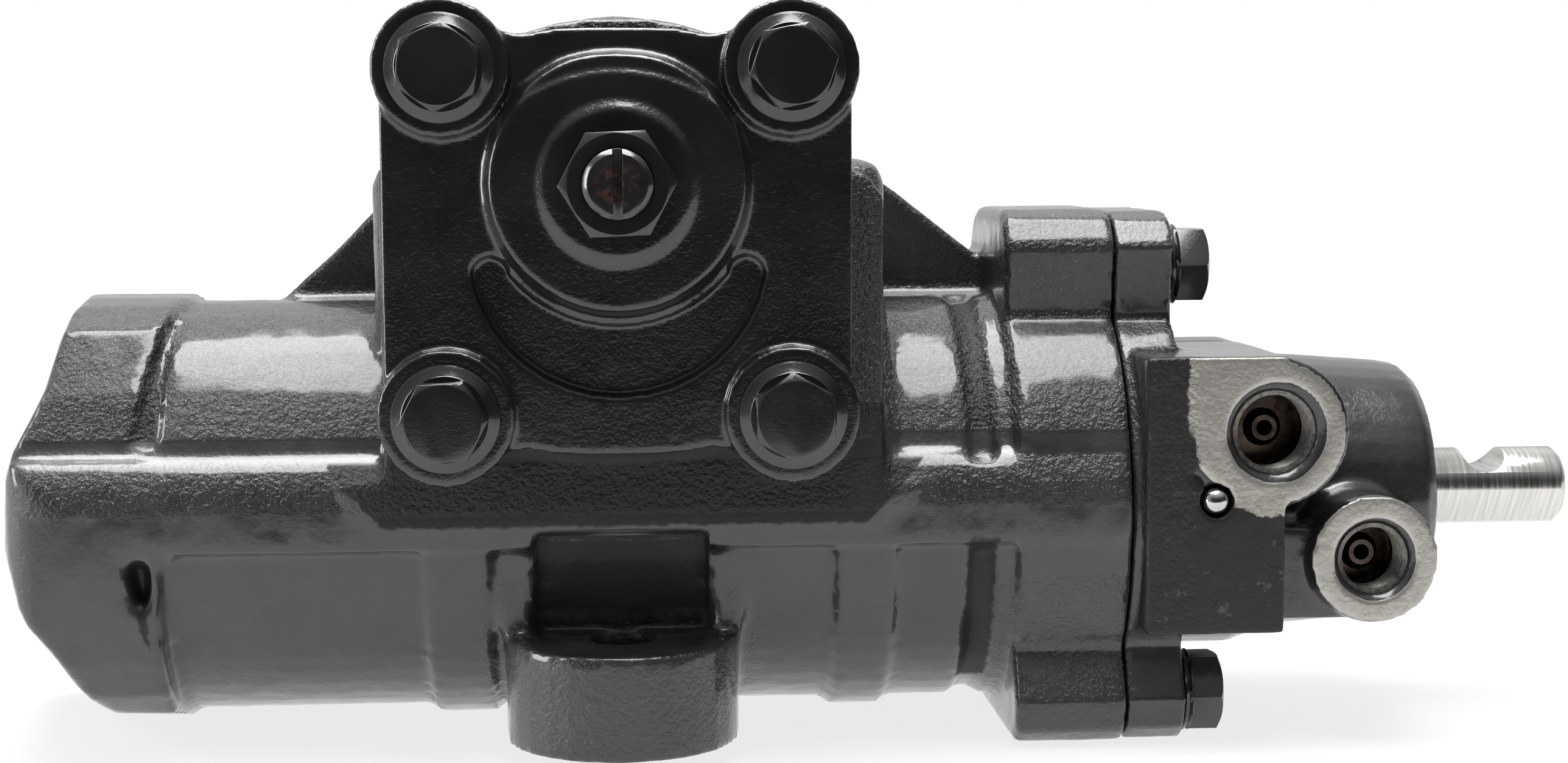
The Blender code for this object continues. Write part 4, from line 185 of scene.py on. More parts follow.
def merged_copy(node, name):
    """A copy of a CAD node's mesh with its loose triangles joined up."""
    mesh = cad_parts[node].data.copy()
    mesh.materials.clear()
    piece = bpy.data.objects.new(name, mesh)
    bpy.context.scene.collection.objects.link(piece)
    only(piece)
    bpy.ops.object.mode_set(mode="EDIT")
    bpy.ops.mesh.select_all(action="SELECT")
    bpy.ops.mesh.remove_doubles(threshold=0.00001)
    bpy.ops.object.mode_set(mode="OBJECT")
    return piece


def apply_modifiers(piece):
    only(piece)
    for modifier in list(piece.modifiers):
        bpy.ops.object.modifier_apply(modifier=modifier.name)


def cast_round(piece, voxel, passes, unevenness, most):
    """Rounds a machined-sharp form as a sand mould does, and lets its skin wander slightly."""
    remesh = piece.modifiers.new("remesh", "REMESH")
    remesh.mode = "VOXEL"
    remesh.voxel_size = voxel
    smooth = piece.modifiers.new("smooth", "SMOOTH")
    smooth.factor = 0.5
    smooth.iterations = passes
    waves = bpy.data.textures.new(piece.name + "_waves", "CLOUDS")
    waves.noise_scale = 0.006
    waves.noise_depth = 2
    wander = piece.modifiers.new("wander", "DISPLACE")
    wander.texture = waves
    wander.texture_coords = "LOCAL"
    wander.strength = unevenness
    wander.mid_level = 0.5
    apply_modifiers(piece)
    count = sum(len(face.vertices) - 2 for face in piece.data.polygons)
    if count > most:
        fewer = piece.modifiers.new("fewer", "DECIMATE")
        fewer.ratio = most / count
        apply_modifiers(piece)
    only(piece)
    bpy.ops.object.shade_smooth()


def dress(piece, surface, body, slot, *replaced):
    """Gives a finished piece its material and its body, and hides the CAD nodes it stands for. The slot is
    not used.
    """
    piece.data.materials.clear()
    piece.data.materials.append(surface)
    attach(piece, body)
    if replaced:
        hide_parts(*replaced)


def new_group(name, inputs, outputs):
    """An empty shader group with its sockets, and its input and output nodes."""
    group = bpy.data.node_groups.new(name, "ShaderNodeTree")
    for label, kind, value in inputs:
        socket = group.interface.new_socket(label, in_out="INPUT", socket_type=kind)
        if kind == "NodeSocketFloat":
            socket.default_value = value
    for label, kind in outputs:
        group.interface.new_socket(label, in_out="OUTPUT", socket_type=kind)
    return group, put(group, "NodeGroupInput"), put(group, "NodeGroupOutput")


cast_skin, given, result = new_group(
    "cast_skin",
    (("Place", "NodeSocketVector", None), ("Grain", "NodeSocketFloat", 800.0),
     ("Coarse", "NodeSocketFloat", 0.5)),
    (("Height", "NodeSocketFloat"), ("Patches", "NodeSocketFloat")))
pebbles = put(cast_skin, "ShaderNodeTexNoise",
              {"Vector": given.outputs["Place"], "Scale": given.outputs["Grain"], "Detail": 2.6,
               "Roughness": 0.55})
lumps_scale = maths(cast_skin, "MULTIPLY", given.outputs["Grain"], 0.45)
lumps = put(cast_skin, "ShaderNodeTexVoronoi",
            {"Vector": given.outputs["Place"], "Scale": lumps_scale, "Smoothness": 0.6}, feature="SMOOTH_F1")
coarse = maths(cast_skin, "MULTIPLY", maths(cast_skin, "MULTIPLY", lumps.outputs["Distance"], -0.9),
               given.outputs["Coarse"])
fine = maths(cast_skin, "MULTIPLY", pebbles.outputs[0], 0.9)
cast_skin.links.new(maths(cast_skin, "ADD", fine, coarse), result.inputs["Height"])
patches = put(cast_skin, "ShaderNodeTexNoise",
              {"Vector": given.outputs["Place"], "Scale": 45.0, "Detail": 4.0, "Roughness": 0.65})
cast_skin.links.new(patches.outputs[0], result.inputs["Patches"])


# The full coat, and the coat, roughness and near-black of the painted darkening, which is painted shade in
# the housing's recesses.
FULL_COAT = 0.90
DARKENED_COAT = 0.02
DARKENED_ROUGHNESS = 0.52
DARKENED_BLACK = (0.007, 0.007, 0.0072, 1)


def painted_casting(name, colour, gloss, grain, depth, rough_where=None, darkened_where=None):
    """Black paint over cast iron, with its sand grain where it shows, and painted darker with less coat and
    gloss where the mask says: painted shade in the housing's recesses.
    """
    made = bpy.data.materials.new(name)
    made.use_nodes = True
    work = made.node_tree
    shader = work.nodes["Principled BSDF"]
    place = put(work, "ShaderNodeTexCoord").outputs["Object"]
    skin = put(work, "ShaderNodeGroup", node_tree=cast_skin)
    work.links.new(place, skin.inputs["Place"])
    skin.inputs["Grain"].default_value = grain
    skin.inputs["Coarse"].default_value = 0.45
    shown = rough_where(work, place) if rough_where else 1.0
    height = maths(work, "MULTIPLY", skin.outputs["Height"], shown)
    bump = put(work, "ShaderNodeBump", {"Height": height, "Strength": 1.0, "Distance": depth})
    work.links.new(bump.outputs[0], shader.inputs["Normal"])
    tint = put(work, "ShaderNodeMix", {"Factor": fade(work, skin.outputs["Patches"], 0.35, 0.65),
                                       "A": (*[part * 0.80 for part in colour], 1),
                                       "B": (*[part * 1.25 for part in colour], 1)}, data_type="RGBA")
    paint = tint.outputs["Result"]
    sheen = fade(work, skin.outputs["Patches"], 0.3, 0.7, gloss - 0.05, gloss + 0.07)
    shader.inputs["Specular IOR Level"].default_value = 0.45
    shader.inputs["Coat Weight"].default_value = FULL_COAT
    shader.inputs["Coat Roughness"].default_value = 0.14
    # Where the mask says, the colour is painted darker and the coat and gloss are taken away: painted shade
    # in the housing's recesses, and a darker port face on the valve housing.
    if darkened_where:
        darkening = darkened_where(work, place)
        work.links.new(fade(work, darkening, 0.0, 1.0, FULL_COAT, DARKENED_COAT), shader.inputs["Coat Weight"])
        sheen = put(work, "ShaderNodeMix",
                    {"Factor": darkening, "A": sheen, "B": DARKENED_ROUGHNESS}).outputs["Result"]
        paint = put(work, "ShaderNodeMix", {"Factor": darkening, "A": paint, "B": DARKENED_BLACK},
                    data_type="RGBA").outputs["Result"]
    work.links.new(paint, shader.inputs["Base Color"])
    work.links.new(sheen, shader.inputs["Roughness"])
    return made


def from_gear_origin(work, place):
    """X, Y and Z measured from where the worm and the sector shaft cross."""
    shifted = put(work, "ShaderNodeVectorMath", {0: place, 1: GEAR_ORIGIN}, operation="SUBTRACT").outputs[0]
    at = put(work, "ShaderNodeSeparateXYZ", {0: shifted})
    return at.outputs["X"], at.outputs["Y"], at.outputs["Z"]


def product(work, *masks):
    """What lies in all of these masks."""
    result = masks[0]
    for mask in masks[1:]:
        result = maths(work, "MULTIPLY", result, mask)
    return result


def any_of(work, *masks):
    """What lies in one or more of these masks."""
    result = masks[0]
    for mask in masks[1:]:
        result = maths(work, "MAXIMUM", result, mask)
    return result


def between(work, value, low, high, soft):
    """1 between the two values, and 0 outside them."""
    rising = fade(work, value, low - soft, low + soft)
    falling = fade(work, value, high + soft, high - soft)
    return maths(work, "MULTIPLY", rising, falling)


BAND_HEIGHTS = (0.0045, 0.0160)
PANEL_FOOT = 0.0212
LOW_BOSS_LEFT = 0.090
LOW_BOSS_TOP = -0.0125
FRONT_LUG_REACH = 0.034


def rough_on_housing(work, place):
    """The sand grain shows most on the upper front of the cylinder, on its band and on the low boss."""
    x, y, z = from_gear_origin(work, place)
    front = fade(work, y, 0.000, -0.015, 0.35, 1.0)
    upper = maths(work, "MULTIPLY", fade(work, z, PANEL_FOOT, PANEL_FOOT + 0.0012), 0.85)
    band = maths(work, "MULTIPLY", between(work, z, *BAND_HEIGHTS, 0.0010), 0.65)
    low_boss = product(work, fade(work, x, LOW_BOSS_LEFT, LOW_BOSS_LEFT + 0.002),
                       fade(work, z, LOW_BOSS_TOP, LOW_BOSS_TOP - 0.0025, 0.0, 0.50))
    lug = product(work, between(work, x, -FRONT_LUG_REACH, FRONT_LUG_REACH, 0.002),
                  fade(work, z, -0.0210, -0.0245, 0.0, 0.42))
    raised = maths(work, "ADD", maths(work, "ADD", upper, band), maths(work, "ADD", low_boss, lug))
    return maths(work, "ADD", maths(work, "MULTIPLY", raised, front), 0.11)


PAD_MIDDLE = 0.0014
PAD_HALF_WIDTH = 0.0567
PAD_SLOPE = 0.95
NECK_SIDES = (0.0840, 0.0912)
NECK_LOW = (-0.0430, -0.0035)
NECK_UPPER_FOOT = 0.0215
UPPER_SLOT = (0.0200, 0.0500)
UPPER_SLOT_LEFT = -0.1120
UPPER_SLOT_RIGHT = -0.1112
UPPER_SLOT_SLOPE = 0.214
UPPER_SLOPE_START = 0.0516
LOWER_SLOT = (-0.0340, -0.0075)
LOWER_SLOT_LEFT = -0.1192
LOWER_SLOT_RIGHT = -0.1122
LOWER_SLOT_SLOPE = 0.275
LOWER_SLOPE_START = -0.0071
POCKET_SIDES = (-0.0205, 0.0215)
POCKET_HEIGHTS = (-0.0215, -0.0035)


def painted_shade_in_recesses(work, place):
    """Painted shade: the recesses, the pad under the cover and the pocket over the front lug are painted
    darker, where little light comes.
    """
    x, y, z = from_gear_origin(work, place)
    torn = put(work, "ShaderNodeTexNoise", {"Vector": place, "Scale": 420.0, "Detail": 3.0}).outputs[0]
    stray = maths(work, "MULTIPLY", maths(work, "SUBTRACT", torn, 0.5), 0.0022)
    x, z = maths(work, "ADD", x, stray), maths(work, "ADD", z, stray)
    off_middle = maths(work, "ABSOLUTE", maths(work, "SUBTRACT", x, PAD_MIDDLE))
    pad_edge = maths(work, "SUBTRACT", off_middle, maths(work, "MULTIPLY", z, PAD_SLOPE))
    pad = product(work, fade(work, pad_edge, PAD_HALF_WIDTH + 0.0005, PAD_HALF_WIDTH - 0.0005),
                  between(work, z, 0.0010, 0.0300, 0.0006), fade(work, y, -0.051, -0.053))
    neck_heights = any_of(work, fade(work, z, NECK_UPPER_FOOT, NECK_UPPER_FOOT + 0.0020),
                          between(work, z, *NECK_LOW, 0.0010))
    neck = product(work, between(work, x, *NECK_SIDES, 0.0006), neck_heights)
    lean = maths(work, "MULTIPLY", maths(work, "SUBTRACT", UPPER_SLOPE_START, z), UPPER_SLOT_SLOPE)
    upper_slot = product(work,
                         fade(work, maths(work, "ADD", x, lean), UPPER_SLOT_LEFT, UPPER_SLOT_LEFT + 0.0010),
                         fade(work, x, UPPER_SLOT_RIGHT, UPPER_SLOT_RIGHT - 0.0008),
                         between(work, z, *UPPER_SLOT, 0.0008))
    lean = maths(work, "MULTIPLY", maths(work, "SUBTRACT", z, LOWER_SLOPE_START), LOWER_SLOT_SLOPE)
    lower_slot = product(work,
                         fade(work, maths(work, "ADD", x, lean), LOWER_SLOT_LEFT, LOWER_SLOT_LEFT + 0.0010),
                         fade(work, x, LOWER_SLOT_RIGHT, LOWER_SLOT_RIGHT - 0.0010),
                         between(work, z, *LOWER_SLOT, 0.0008))
    pocket = product(work, between(work, x, *POCKET_SIDES, 0.0008), between(work, z, *POCKET_HEIGHTS, 0.0006))
    hollows = any_of(work, upper_slot, lower_slot, neck, pocket)
    return any_of(work, pad, product(work, hollows, fade(work, y, -0.004, -0.012)))


# The housing's paint, with painted shade in its recesses and on the pad under the cover.
housing_black = painted_casting("housing_black", (0.021, 0.021, 0.0215), 0.27, 1000.0, 0.00115,
                                rough_on_housing, painted_shade_in_recesses)


def soften(piece, across, back_to, up, times):
    """Blends the front of a casting between these places, as a fillet of the mould does."""
    only(piece)
    bpy.ops.object.mode_set(mode="EDIT")
    bpy.ops.mesh.select_mode(type="VERT")
    bpy.ops.mesh.select_all(action="DESELECT")
    bpy.ops.object.mode_set(mode="OBJECT")
    for point in piece.data.vertices:
        place = point.co - GEAR_ORIGIN
        inside = across[0] < place.x < across[1] and up[0] < place.z < up[1]
        point.select = inside and place.y < back_to
    bpy.ops.object.mode_set(mode="EDIT")
    bpy.ops.mesh.vertices_smooth(factor=0.5, repeat=times)
    bpy.ops.object.mode_set(mode="OBJECT")


END_RECESS_SIDES = (-0.1200, -0.1060)
END_RECESS_HEIGHTS = (-0.0275, -0.0035)
LUG_ROOT_SIDES = (-0.0205, 0.0205)
LUG_ROOT_HEIGHTS = (-0.0262, -0.0150)
housing = merged_copy("gear_housing", "gear_housing_casting")
cast_round(housing, HOUSING_VOXEL, 4, 0.0003, MOST_TRIANGLES)
soften(housing, END_RECESS_SIDES, -0.02, END_RECESS_HEIGHTS, 16)
soften(housing, LUG_ROOT_SIDES, -0.038, LUG_ROOT_HEIGHTS, 14)
dress(housing, housing_black, "housing", "housing_paint", "gear_housing")

# The valve housing: a second casting that closes the cylinder, with the two hose ports, the
# flange that four screws pull up and the barrel round the rotary valve.
VALVE_VOXEL = 0.0010
MOST_VALVE_TRIANGLES = 185000
PORT_FACE_Y = -0.0580 + GEAR_ORIGIN.y
LOWER_PORT_FACE_Y = -0.0550 + GEAR_ORIGIN.y
UPPER_PORT = (0.1584, 0.0214, 0)
LOWER_PORT = (0.1842, -0.0105, 0)
UPPER_BARE_RADIUS = 0.0206
LOWER_BARE_RADIUS = 0.0164
BARE_CORNER_LEFT = 0.1366
BARE_CORNER_FOOT = 0.0200
LOWER_PORT_LEFT = 0.1665


def bare_ports(work, place, shader):
    """Masks bare machined iron on the port faces, with the ragged edge that sprayed paint leaves."""
    at = put(work, "ShaderNodeSeparateXYZ", {0: place})
    ragged = put(work, "ShaderNodeTexNoise",
                 {"Vector": place, "Scale": 240.0, "Detail": 5.0, "Roughness": 0.75})
    stray = maths(work, "MULTIPLY", maths(work, "SUBTRACT", ragged.outputs[0], 0.5), 0.0060)
    x, z = (maths(work, "SUBTRACT", at.outputs[axis], shift)
            for axis, shift in (("X", GEAR_ORIGIN.x), ("Z", GEAR_ORIGIN.z)))
    upper_face = maths(work, "LESS_THAN", at.outputs["Y"], PORT_FACE_Y + 0.0004)
    centre = put(work, "ShaderNodeCombineXYZ", {0: x, 1: z}).outputs[0]
    to_upper = put(work, "ShaderNodeVectorMath", {0: centre, 1: UPPER_PORT}, operation="DISTANCE")
    to_lower = put(work, "ShaderNodeVectorMath", {0: centre, 1: LOWER_PORT}, operation="DISTANCE")
    reach = maths(work, "ADD", to_upper.outputs["Value"], stray)
    disc = fade(work, reach, UPPER_BARE_RADIUS, UPPER_BARE_RADIUS - 0.0008)
    corner = product(work,
                     fade(work, maths(work, "ADD", x, stray), BARE_CORNER_LEFT, BARE_CORNER_LEFT + 0.0010),
                     fade(work, z, BARE_CORNER_FOOT, BARE_CORNER_FOOT + 0.0040))
    upper = maths(work, "MAXIMUM", disc, corner)
    lower_face = maths(work, "LESS_THAN", at.outputs["Y"], LOWER_PORT_FACE_Y + 0.0004)
    reach = maths(work, "ADD", to_lower.outputs["Value"], stray)
    lower = fade(work, reach, LOWER_BARE_RADIUS, LOWER_BARE_RADIUS - 0.0006)
    right = maths(work, "GREATER_THAN", x, LOWER_PORT_LEFT)
    bare = any_of(work, product(work, upper_face, upper), product(work, lower_face, right, lower))
    marks = put(work, "ShaderNodeTexNoise", {"Vector": place, "Scale": 900.0, "Detail": 2.0})
    iron = put(work, "ShaderNodeMix", {"Factor": marks.outputs[0], "A": (0.36, 0.34, 0.31, 1),
                                       "B": (0.52, 0.50, 0.46, 1)}, data_type="RGBA")
    for label, value in (("Base Color", iron.outputs["Result"]), ("Roughness", 0.38), ("Metallic", 0.75)):
        under = shader.inputs[label].links[0].from_socket if shader.inputs[label].links else 0.0
        if label == "Base Color":
            blend = put(work, "ShaderNodeMix", {"Factor": bare, "A": under, "B": value}, data_type="RGBA")
        else:
            blend = put(work, "ShaderNodeMix", {"Factor": bare, "A": under, "B": value})
        work.links.new(blend.outputs["Result"], shader.inputs[label])


def rough_on_valve_housing(work, place):
    """The grain shows on the flange and its bosses, and a little on the barrel."""
    x, _, z = from_gear_origin(work, place)
    flange = maths(work, "MULTIPLY", fade(work, x, 0.1400, 0.1370), fade(work, z, -0.006, 0.006, 0.15, 0.60))
    return maths(work, "ADD", flange, 0.16)


def darker_port_face(work, place):
    """The machined port face is painted darker and less glossy, in uneven patches."""
    x, y, _ = from_gear_origin(work, place)
    uneven_patches = put(work, "ShaderNodeTexNoise",
                 {"Vector": place, "Scale": 130.0, "Detail": 5.0, "Roughness": 0.7}).outputs[0]
    face = maths(work, "MULTIPLY", fade(work, y, -0.0570, -0.0577), fade(work, x, 0.1640, 0.1630))
    return maths(work, "MULTIPLY", face, fade(work, uneven_patches, 0.66, 0.58, 0.0, 0.80))


valve_black = painted_casting("valve_black", (0.019, 0.019, 0.0195), 0.27, 950.0, 0.0009,
                              rough_on_valve_housing, darker_port_face)
work = valve_black.node_tree
bare_ports(work, put(work, "ShaderNodeTexCoord").outputs["Object"], work.nodes["Principled BSDF"])
valve_casting = merged_copy("valve_housing", "valve_housing_casting")
cast_round(valve_casting, VALVE_VOXEL, 3, 0.0002, MOST_VALVE_TRIANGLES)
dress(valve_casting, valve_black, "housing", "housing_paint", "valve_housing")

# The side cover: a finer casting that carries the front bush of the sector shaft. Its paint is
# glossier, and the edges of its disc, bosses and crescent are softly rounded.
COVER_VOXEL = 0.00068
cover_black = painted_casting("cover_black", (0.0085, 0.0085, 0.009), 0.18, 1350.0, 0.00016)
cover = merged_copy("side_cover", "side_cover_casting")
cast_round(cover, COVER_VOXEL, 4, 0.00012, MOST_TRIANGLES)
dress(cover, cover_black, "housing", "cover_paint", "side_cover")

# The cover gasket: pressed fibre sheet, whose edge shows as a thin line round the cover.
# It keeps the shape of its CAD solid.


def speckled(name, colour, other, scale, roughness, metallic=0.0, depth=0.00003, stretch=(1, 1, 1)):
    """A surface of two close colours in a grain, drawn out along an axis where it is machined."""
    made = bpy.data.materials.new(name)
    made.use_nodes = True
    work = made.node_tree
    shader = work.nodes["Principled BSDF"]
    place = put(work, "ShaderNodeMapping", {"Vector": put(work, "ShaderNodeTexCoord").outputs["Object"],
                                            "Scale": stretch}).outputs[0]
    grain = put(work, "ShaderNodeTexNoise",
                {"Vector": place, "Scale": scale, "Detail": 4.0, "Roughness": 0.6})
    tint = put(work, "ShaderNodeMix", {"Factor": fade(work, grain.outputs[0], 0.3, 0.7), "A": (*colour, 1),
                                       "B": (*other, 1)}, data_type="RGBA")
    work.links.new(tint.outputs["Result"], shader.inputs["Base Color"])
    work.links.new(fade(work, grain.outputs[0], 0.3, 0.7, roughness - 0.05, roughness + 0.06),
                   shader.inputs["Roughness"])
    shader.inputs["Metallic"].default_value = metallic
    bump = put(work, "ShaderNodeBump", {"Height": grain.outputs[0], "Strength": 1.0, "Distance": depth})
    work.links.new(bump.outputs[0], shader.inputs["Normal"])
    return made


def refinish(surface, *nodes):
    """Gives CAD nodes whose shape is right a better material."""
    for node in nodes:
        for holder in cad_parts[node].material_slots:
            holder.material = surface


gasket_fibre = speckled("gasket_fibre", (0.055, 0.060, 0.055), (0.11, 0.12, 0.11), 1400.0, 0.85)
refinish(gasket_fibre, "side_cover_gasket")

# The eight flange screws: four hold the side cover and four the valve housing. Each is cold-headed
# steel with a chamfered hexagon on a round collar, and is painted over in place.
SCREW_FLATS = 0.0180
COLLAR_HEIGHT = 0.0022
SHANK_RADIUS = 0.0060


def cut_with(piece, other, operation):
    """Applies one exact Boolean and removes the other piece."""
    boolean = piece.modifiers.new("boolean", "BOOLEAN")
    boolean.operation = operation
    boolean.solver = "EXACT"
    boolean.object = other
    apply_modifiers(piece)
    bpy.data.objects.remove(other)


def hexagon_head(name, flats, height, base, both_ends=False):
    """A hexagon of that size across its flats, chamfered by a cone at the top or at both ends."""
    bpy.ops.object.select_all(action="DESELECT")
    bpy.ops.mesh.primitive_cylinder_add(vertices=6, radius=flats / math.sqrt(3), depth=height,
                                        location=(0, 0, base + height / 2))
    head = bpy.context.object
    head.name = name
    bpy.ops.object.transform_apply(location=True, rotation=True, scale=True)
    ends = ((1, base + height), (-1, base)) if both_ends else ((1, base + height),)
    face_radius = flats * 0.485
    reach = height + 0.004
    for side, face in ends:
        bpy.ops.object.select_all(action="DESELECT")
        bpy.ops.mesh.primitive_cone_add(vertices=72, radius1=face_radius + reach * 1.75, radius2=face_radius,
                                        depth=reach, location=(0, 0, face - side * reach / 2),
                                        rotation=(0 if side > 0 else math.pi, 0, 0))
        cone = bpy.context.object
        bpy.ops.object.transform_apply(location=True, rotation=True, scale=True)
        cut_with(head, cone, "INTERSECT")
    return head


def round_edges(piece, width, segments=2, angle=25):
    """Rounds the edges a little, as thick paint does, and shades the rest smooth."""
    bevel = piece.modifiers.new("bevel", "BEVEL")
    bevel.width = width
    bevel.segments = segments
    bevel.limit_method = "ANGLE"
    bevel.angle_limit = math.radians(angle)
    apply_modifiers(piece)
    only(piece)
    bpy.ops.object.shade_smooth_by_angle(angle=math.radians(38))


def turned_piece(name, profile, steps, ring=False):
    """Spins a profile of (radius, height) points round the Z axis, as a lathe does."""
    mesh = bpy.data.meshes.new(name)
    points = [(radius, 0, height) for radius, height in profile]
    edges = [(i, i + 1) for i in range(len(points) - 1)]
    if ring:
        edges.append((len(points) - 1, 0))
    mesh.from_pydata(points, edges, [])
    piece = bpy.data.objects.new(name, mesh)
    bpy.context.scene.collection.objects.link(piece)
    only(piece)
    bpy.ops.object.mode_set(mode="EDIT")
    bpy.ops.mesh.select_all(action="SELECT")
    bpy.ops.mesh.spin(steps=steps, angle=2 * math.pi, center=(0, 0, 0), axis=(0, 0, 1))
    bpy.ops.mesh.select_all(action="SELECT")
    bpy.ops.mesh.remove_doubles(threshold=0.000005)
    bpy.ops.mesh.normals_make_consistent(inside=False)
    bpy.ops.object.mode_set(mode="OBJECT")
    bpy.ops.object.shade_smooth_by_angle(angle=math.radians(30))
    return piece


def flange_screw(name, head_height, collar_radius, under_head):
    """One screw on the Z axis, with the face it seats on at z 0."""
    screw = hexagon_head(name, SCREW_FLATS, head_height + 0.0008, COLLAR_HEIGHT - 0.0008)
    round_edges(screw, 0.00040, 3)
    inner = min(SCREW_FLATS * 0.56, collar_radius - 0.0004)
    top = COLLAR_HEIGHT + 0.0003
    collar = turned_piece(name + "_collar", [
        (0.0, top), (inner, top), (inner + 0.0002, COLLAR_HEIGHT + 0.0001),
        (collar_radius - 0.0008, COLLAR_HEIGHT - 0.0006), (collar_radius - 0.0002, COLLAR_HEIGHT - 0.0010),
        (collar_radius, COLLAR_HEIGHT - 0.0015), (collar_radius, 0.0004), (collar_radius - 0.0003, 0.0001),
        (SHANK_RADIUS, 0.0001), (SHANK_RADIUS, 0.0010 - under_head), (SHANK_RADIUS - 0.0008, -under_head),
        (0.0, -under_head)], 72)
    only(screw)
    collar.select_set(True)
    bpy.ops.object.join()
    return screw


def set_in_place(piece, where, turn, twist):
    """Turns a finished piece from the Z axis to its own, and writes its place into its mesh."""
    piece.data.transform(Matrix.Translation(where) @ turn.to_4x4() @ Matrix.Rotation(twist, 4, "Z"))
    piece.data.update()


def own_copy(piece, name):
    copy = bpy.data.objects.new(name, piece.data.copy())
    bpy.context.scene.collection.objects.link(copy)
    return copy


TOWARDS_COVER = Matrix.Rotation(math.pi / 2, 3, "X")
ALONG_WORM = Matrix.Rotation(math.pi / 2, 3, "Y")
fastener_black = painted_casting("fastener_black", (0.010, 0.010, 0.0105), 0.18, 1900.0, 0.00005)
HEXAGON_CORNER = math.pi / 6

COVER_HEAD_HEIGHT = 0.0078
COVER_COLLAR_RADIUS = 0.0128
COVER_SHANK_LENGTH = 0.0170
pattern = flange_screw("screw_pattern", COVER_HEAD_HEIGHT, COVER_COLLAR_RADIUS, COVER_SHANK_LENGTH)
for i, twist in enumerate((0.42, 0.20, 0.05, 0.55), 1):
    node = f"side_cover_bolt_{i}"
    low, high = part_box(node)
    seat = Vector(((low.x + high.x) / 2, low.y + COLLAR_HEIGHT + COVER_HEAD_HEIGHT, (low.z + high.z) / 2))
    screw = own_copy(pattern, f"side_cover_screw_{i}")
    set_in_place(screw, seat, TOWARDS_COVER, twist + HEXAGON_CORNER)
    dress(screw, fastener_black, "housing", "fastener_paint", node)
bpy.data.objects.remove(pattern)

FLANGE_HEAD_HEIGHT = 0.0079
FLANGE_COLLAR_RADIUS = 0.0104
FLANGE_SHANK_LENGTH = 0.0330
pattern = flange_screw("screw_pattern", FLANGE_HEAD_HEIGHT, FLANGE_COLLAR_RADIUS, FLANGE_SHANK_LENGTH)
for i in (1, 2, 3, 4):
    node = f"valve_housing_bolt_{i}"
    low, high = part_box(node)
    seat = Vector((high.x - COLLAR_HEIGHT - FLANGE_HEAD_HEIGHT, (low.y + high.y) / 2, (low.z + high.z) / 2))
    screw = own_copy(pattern, f"valve_housing_screw_{i}")
    set_in_place(screw, seat, ALONG_WORM, math.pi / 2 + HEXAGON_CORNER)
    dress(screw, fastener_black, "housing", "fastener_paint", node)
bpy.data.objects.remove(pattern)

# The lash adjuster: a slotted steel screw through the middle of the cover, locked by a hexagon nut.
# Both are painted over, and a little rust stain shows at the middle of the screw's end.
NUT_FLATS = 0.0236
NUT_HEIGHT = 0.0112
NUT_BORE_RADIUS = 0.00825


def stained_screw_end():
    """The fasteners' paint, with a reddish stain at the middle of the slotted end."""
    made = painted_casting("adjuster_black", (0.010, 0.010, 0.0105), 0.18, 1900.0, 0.00005)
    work = made.node_tree
    shader = work.nodes["Principled BSDF"]
    place = put(work, "ShaderNodeTexCoord").outputs["Object"]
    low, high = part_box("adjuster_screw")
    middle = ((low.x + high.x) / 2, low.y, (low.z + high.z) / 2)
    away = put(work, "ShaderNodeVectorMath", {0: place, 1: middle}, operation="DISTANCE").outputs["Value"]
    spots = put(work, "ShaderNodeTexNoise", {"Vector": place, "Scale": 700.0, "Detail": 3.0})
    near = fade(work, away, 0.0062, 0.0030)
    stain = maths(work, "MULTIPLY", near, fade(work, spots.outputs[0], 0.46, 0.60))
    under = shader.inputs["Base Color"].links[0].from_socket
    blend = put(work, "ShaderNodeMix", {"Factor": maths(work, "MULTIPLY", stain, 0.5), "A": under,
                                        "B": (0.085, 0.032, 0.024, 1)}, data_type="RGBA")
    work.links.new(blend.outputs["Result"], shader.inputs["Base Color"])
    return made


adjuster = merged_copy("adjuster_screw", "lash_adjuster_screw")
round_edges(adjuster, 0.0003)
dress(adjuster, stained_screw_end(), "housing", "fastener_paint", "adjuster_screw")

low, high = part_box("adjuster_lock_nut")
nut = hexagon_head("lash_lock_nut", NUT_FLATS, NUT_HEIGHT, 0.0, both_ends=True)
bpy.ops.object.select_all(action="DESELECT")
bpy.ops.mesh.primitive_cylinder_add(vertices=64, radius=NUT_BORE_RADIUS, depth=0.03, location=(0, 0, 0.005))
thread_hole = bpy.context.object
bpy.ops.object.transform_apply(location=True, rotation=True, scale=True)
cut_with(nut, thread_hole, "DIFFERENCE")
round_edges(nut, 0.00045, 3)
set_in_place(nut, Vector(((low.x + high.x) / 2, high.y, (low.z + high.z) / 2)), TOWARDS_COVER,
             0.04 + HEXAGON_CORNER)
dress(nut, fastener_black, "housing", "fastener_paint", "adjuster_lock_nut")

# The two hose ports: machined threads down to a pressed brass seat with a small hole, and beside
# them a hardened ball pressed into a drilling to plug it.
THREAD_PITCH = 0.0015
THREAD_START = 0.0022
dark_iron = speckled("threaded_iron", (0.10, 0.095, 0.088), (0.22, 0.21, 0.195), 900.0, 0.36, 0.85)
brass = speckled("brass", (0.075, 0.052, 0.042), (0.15, 0.110, 0.088), 500.0, 0.32, 1.0)
polished_steel = speckled("polished_steel", (0.52, 0.52, 0.53), (0.70, 0.70, 0.70), 350.0, 0.14, 1.0, 0.00001)


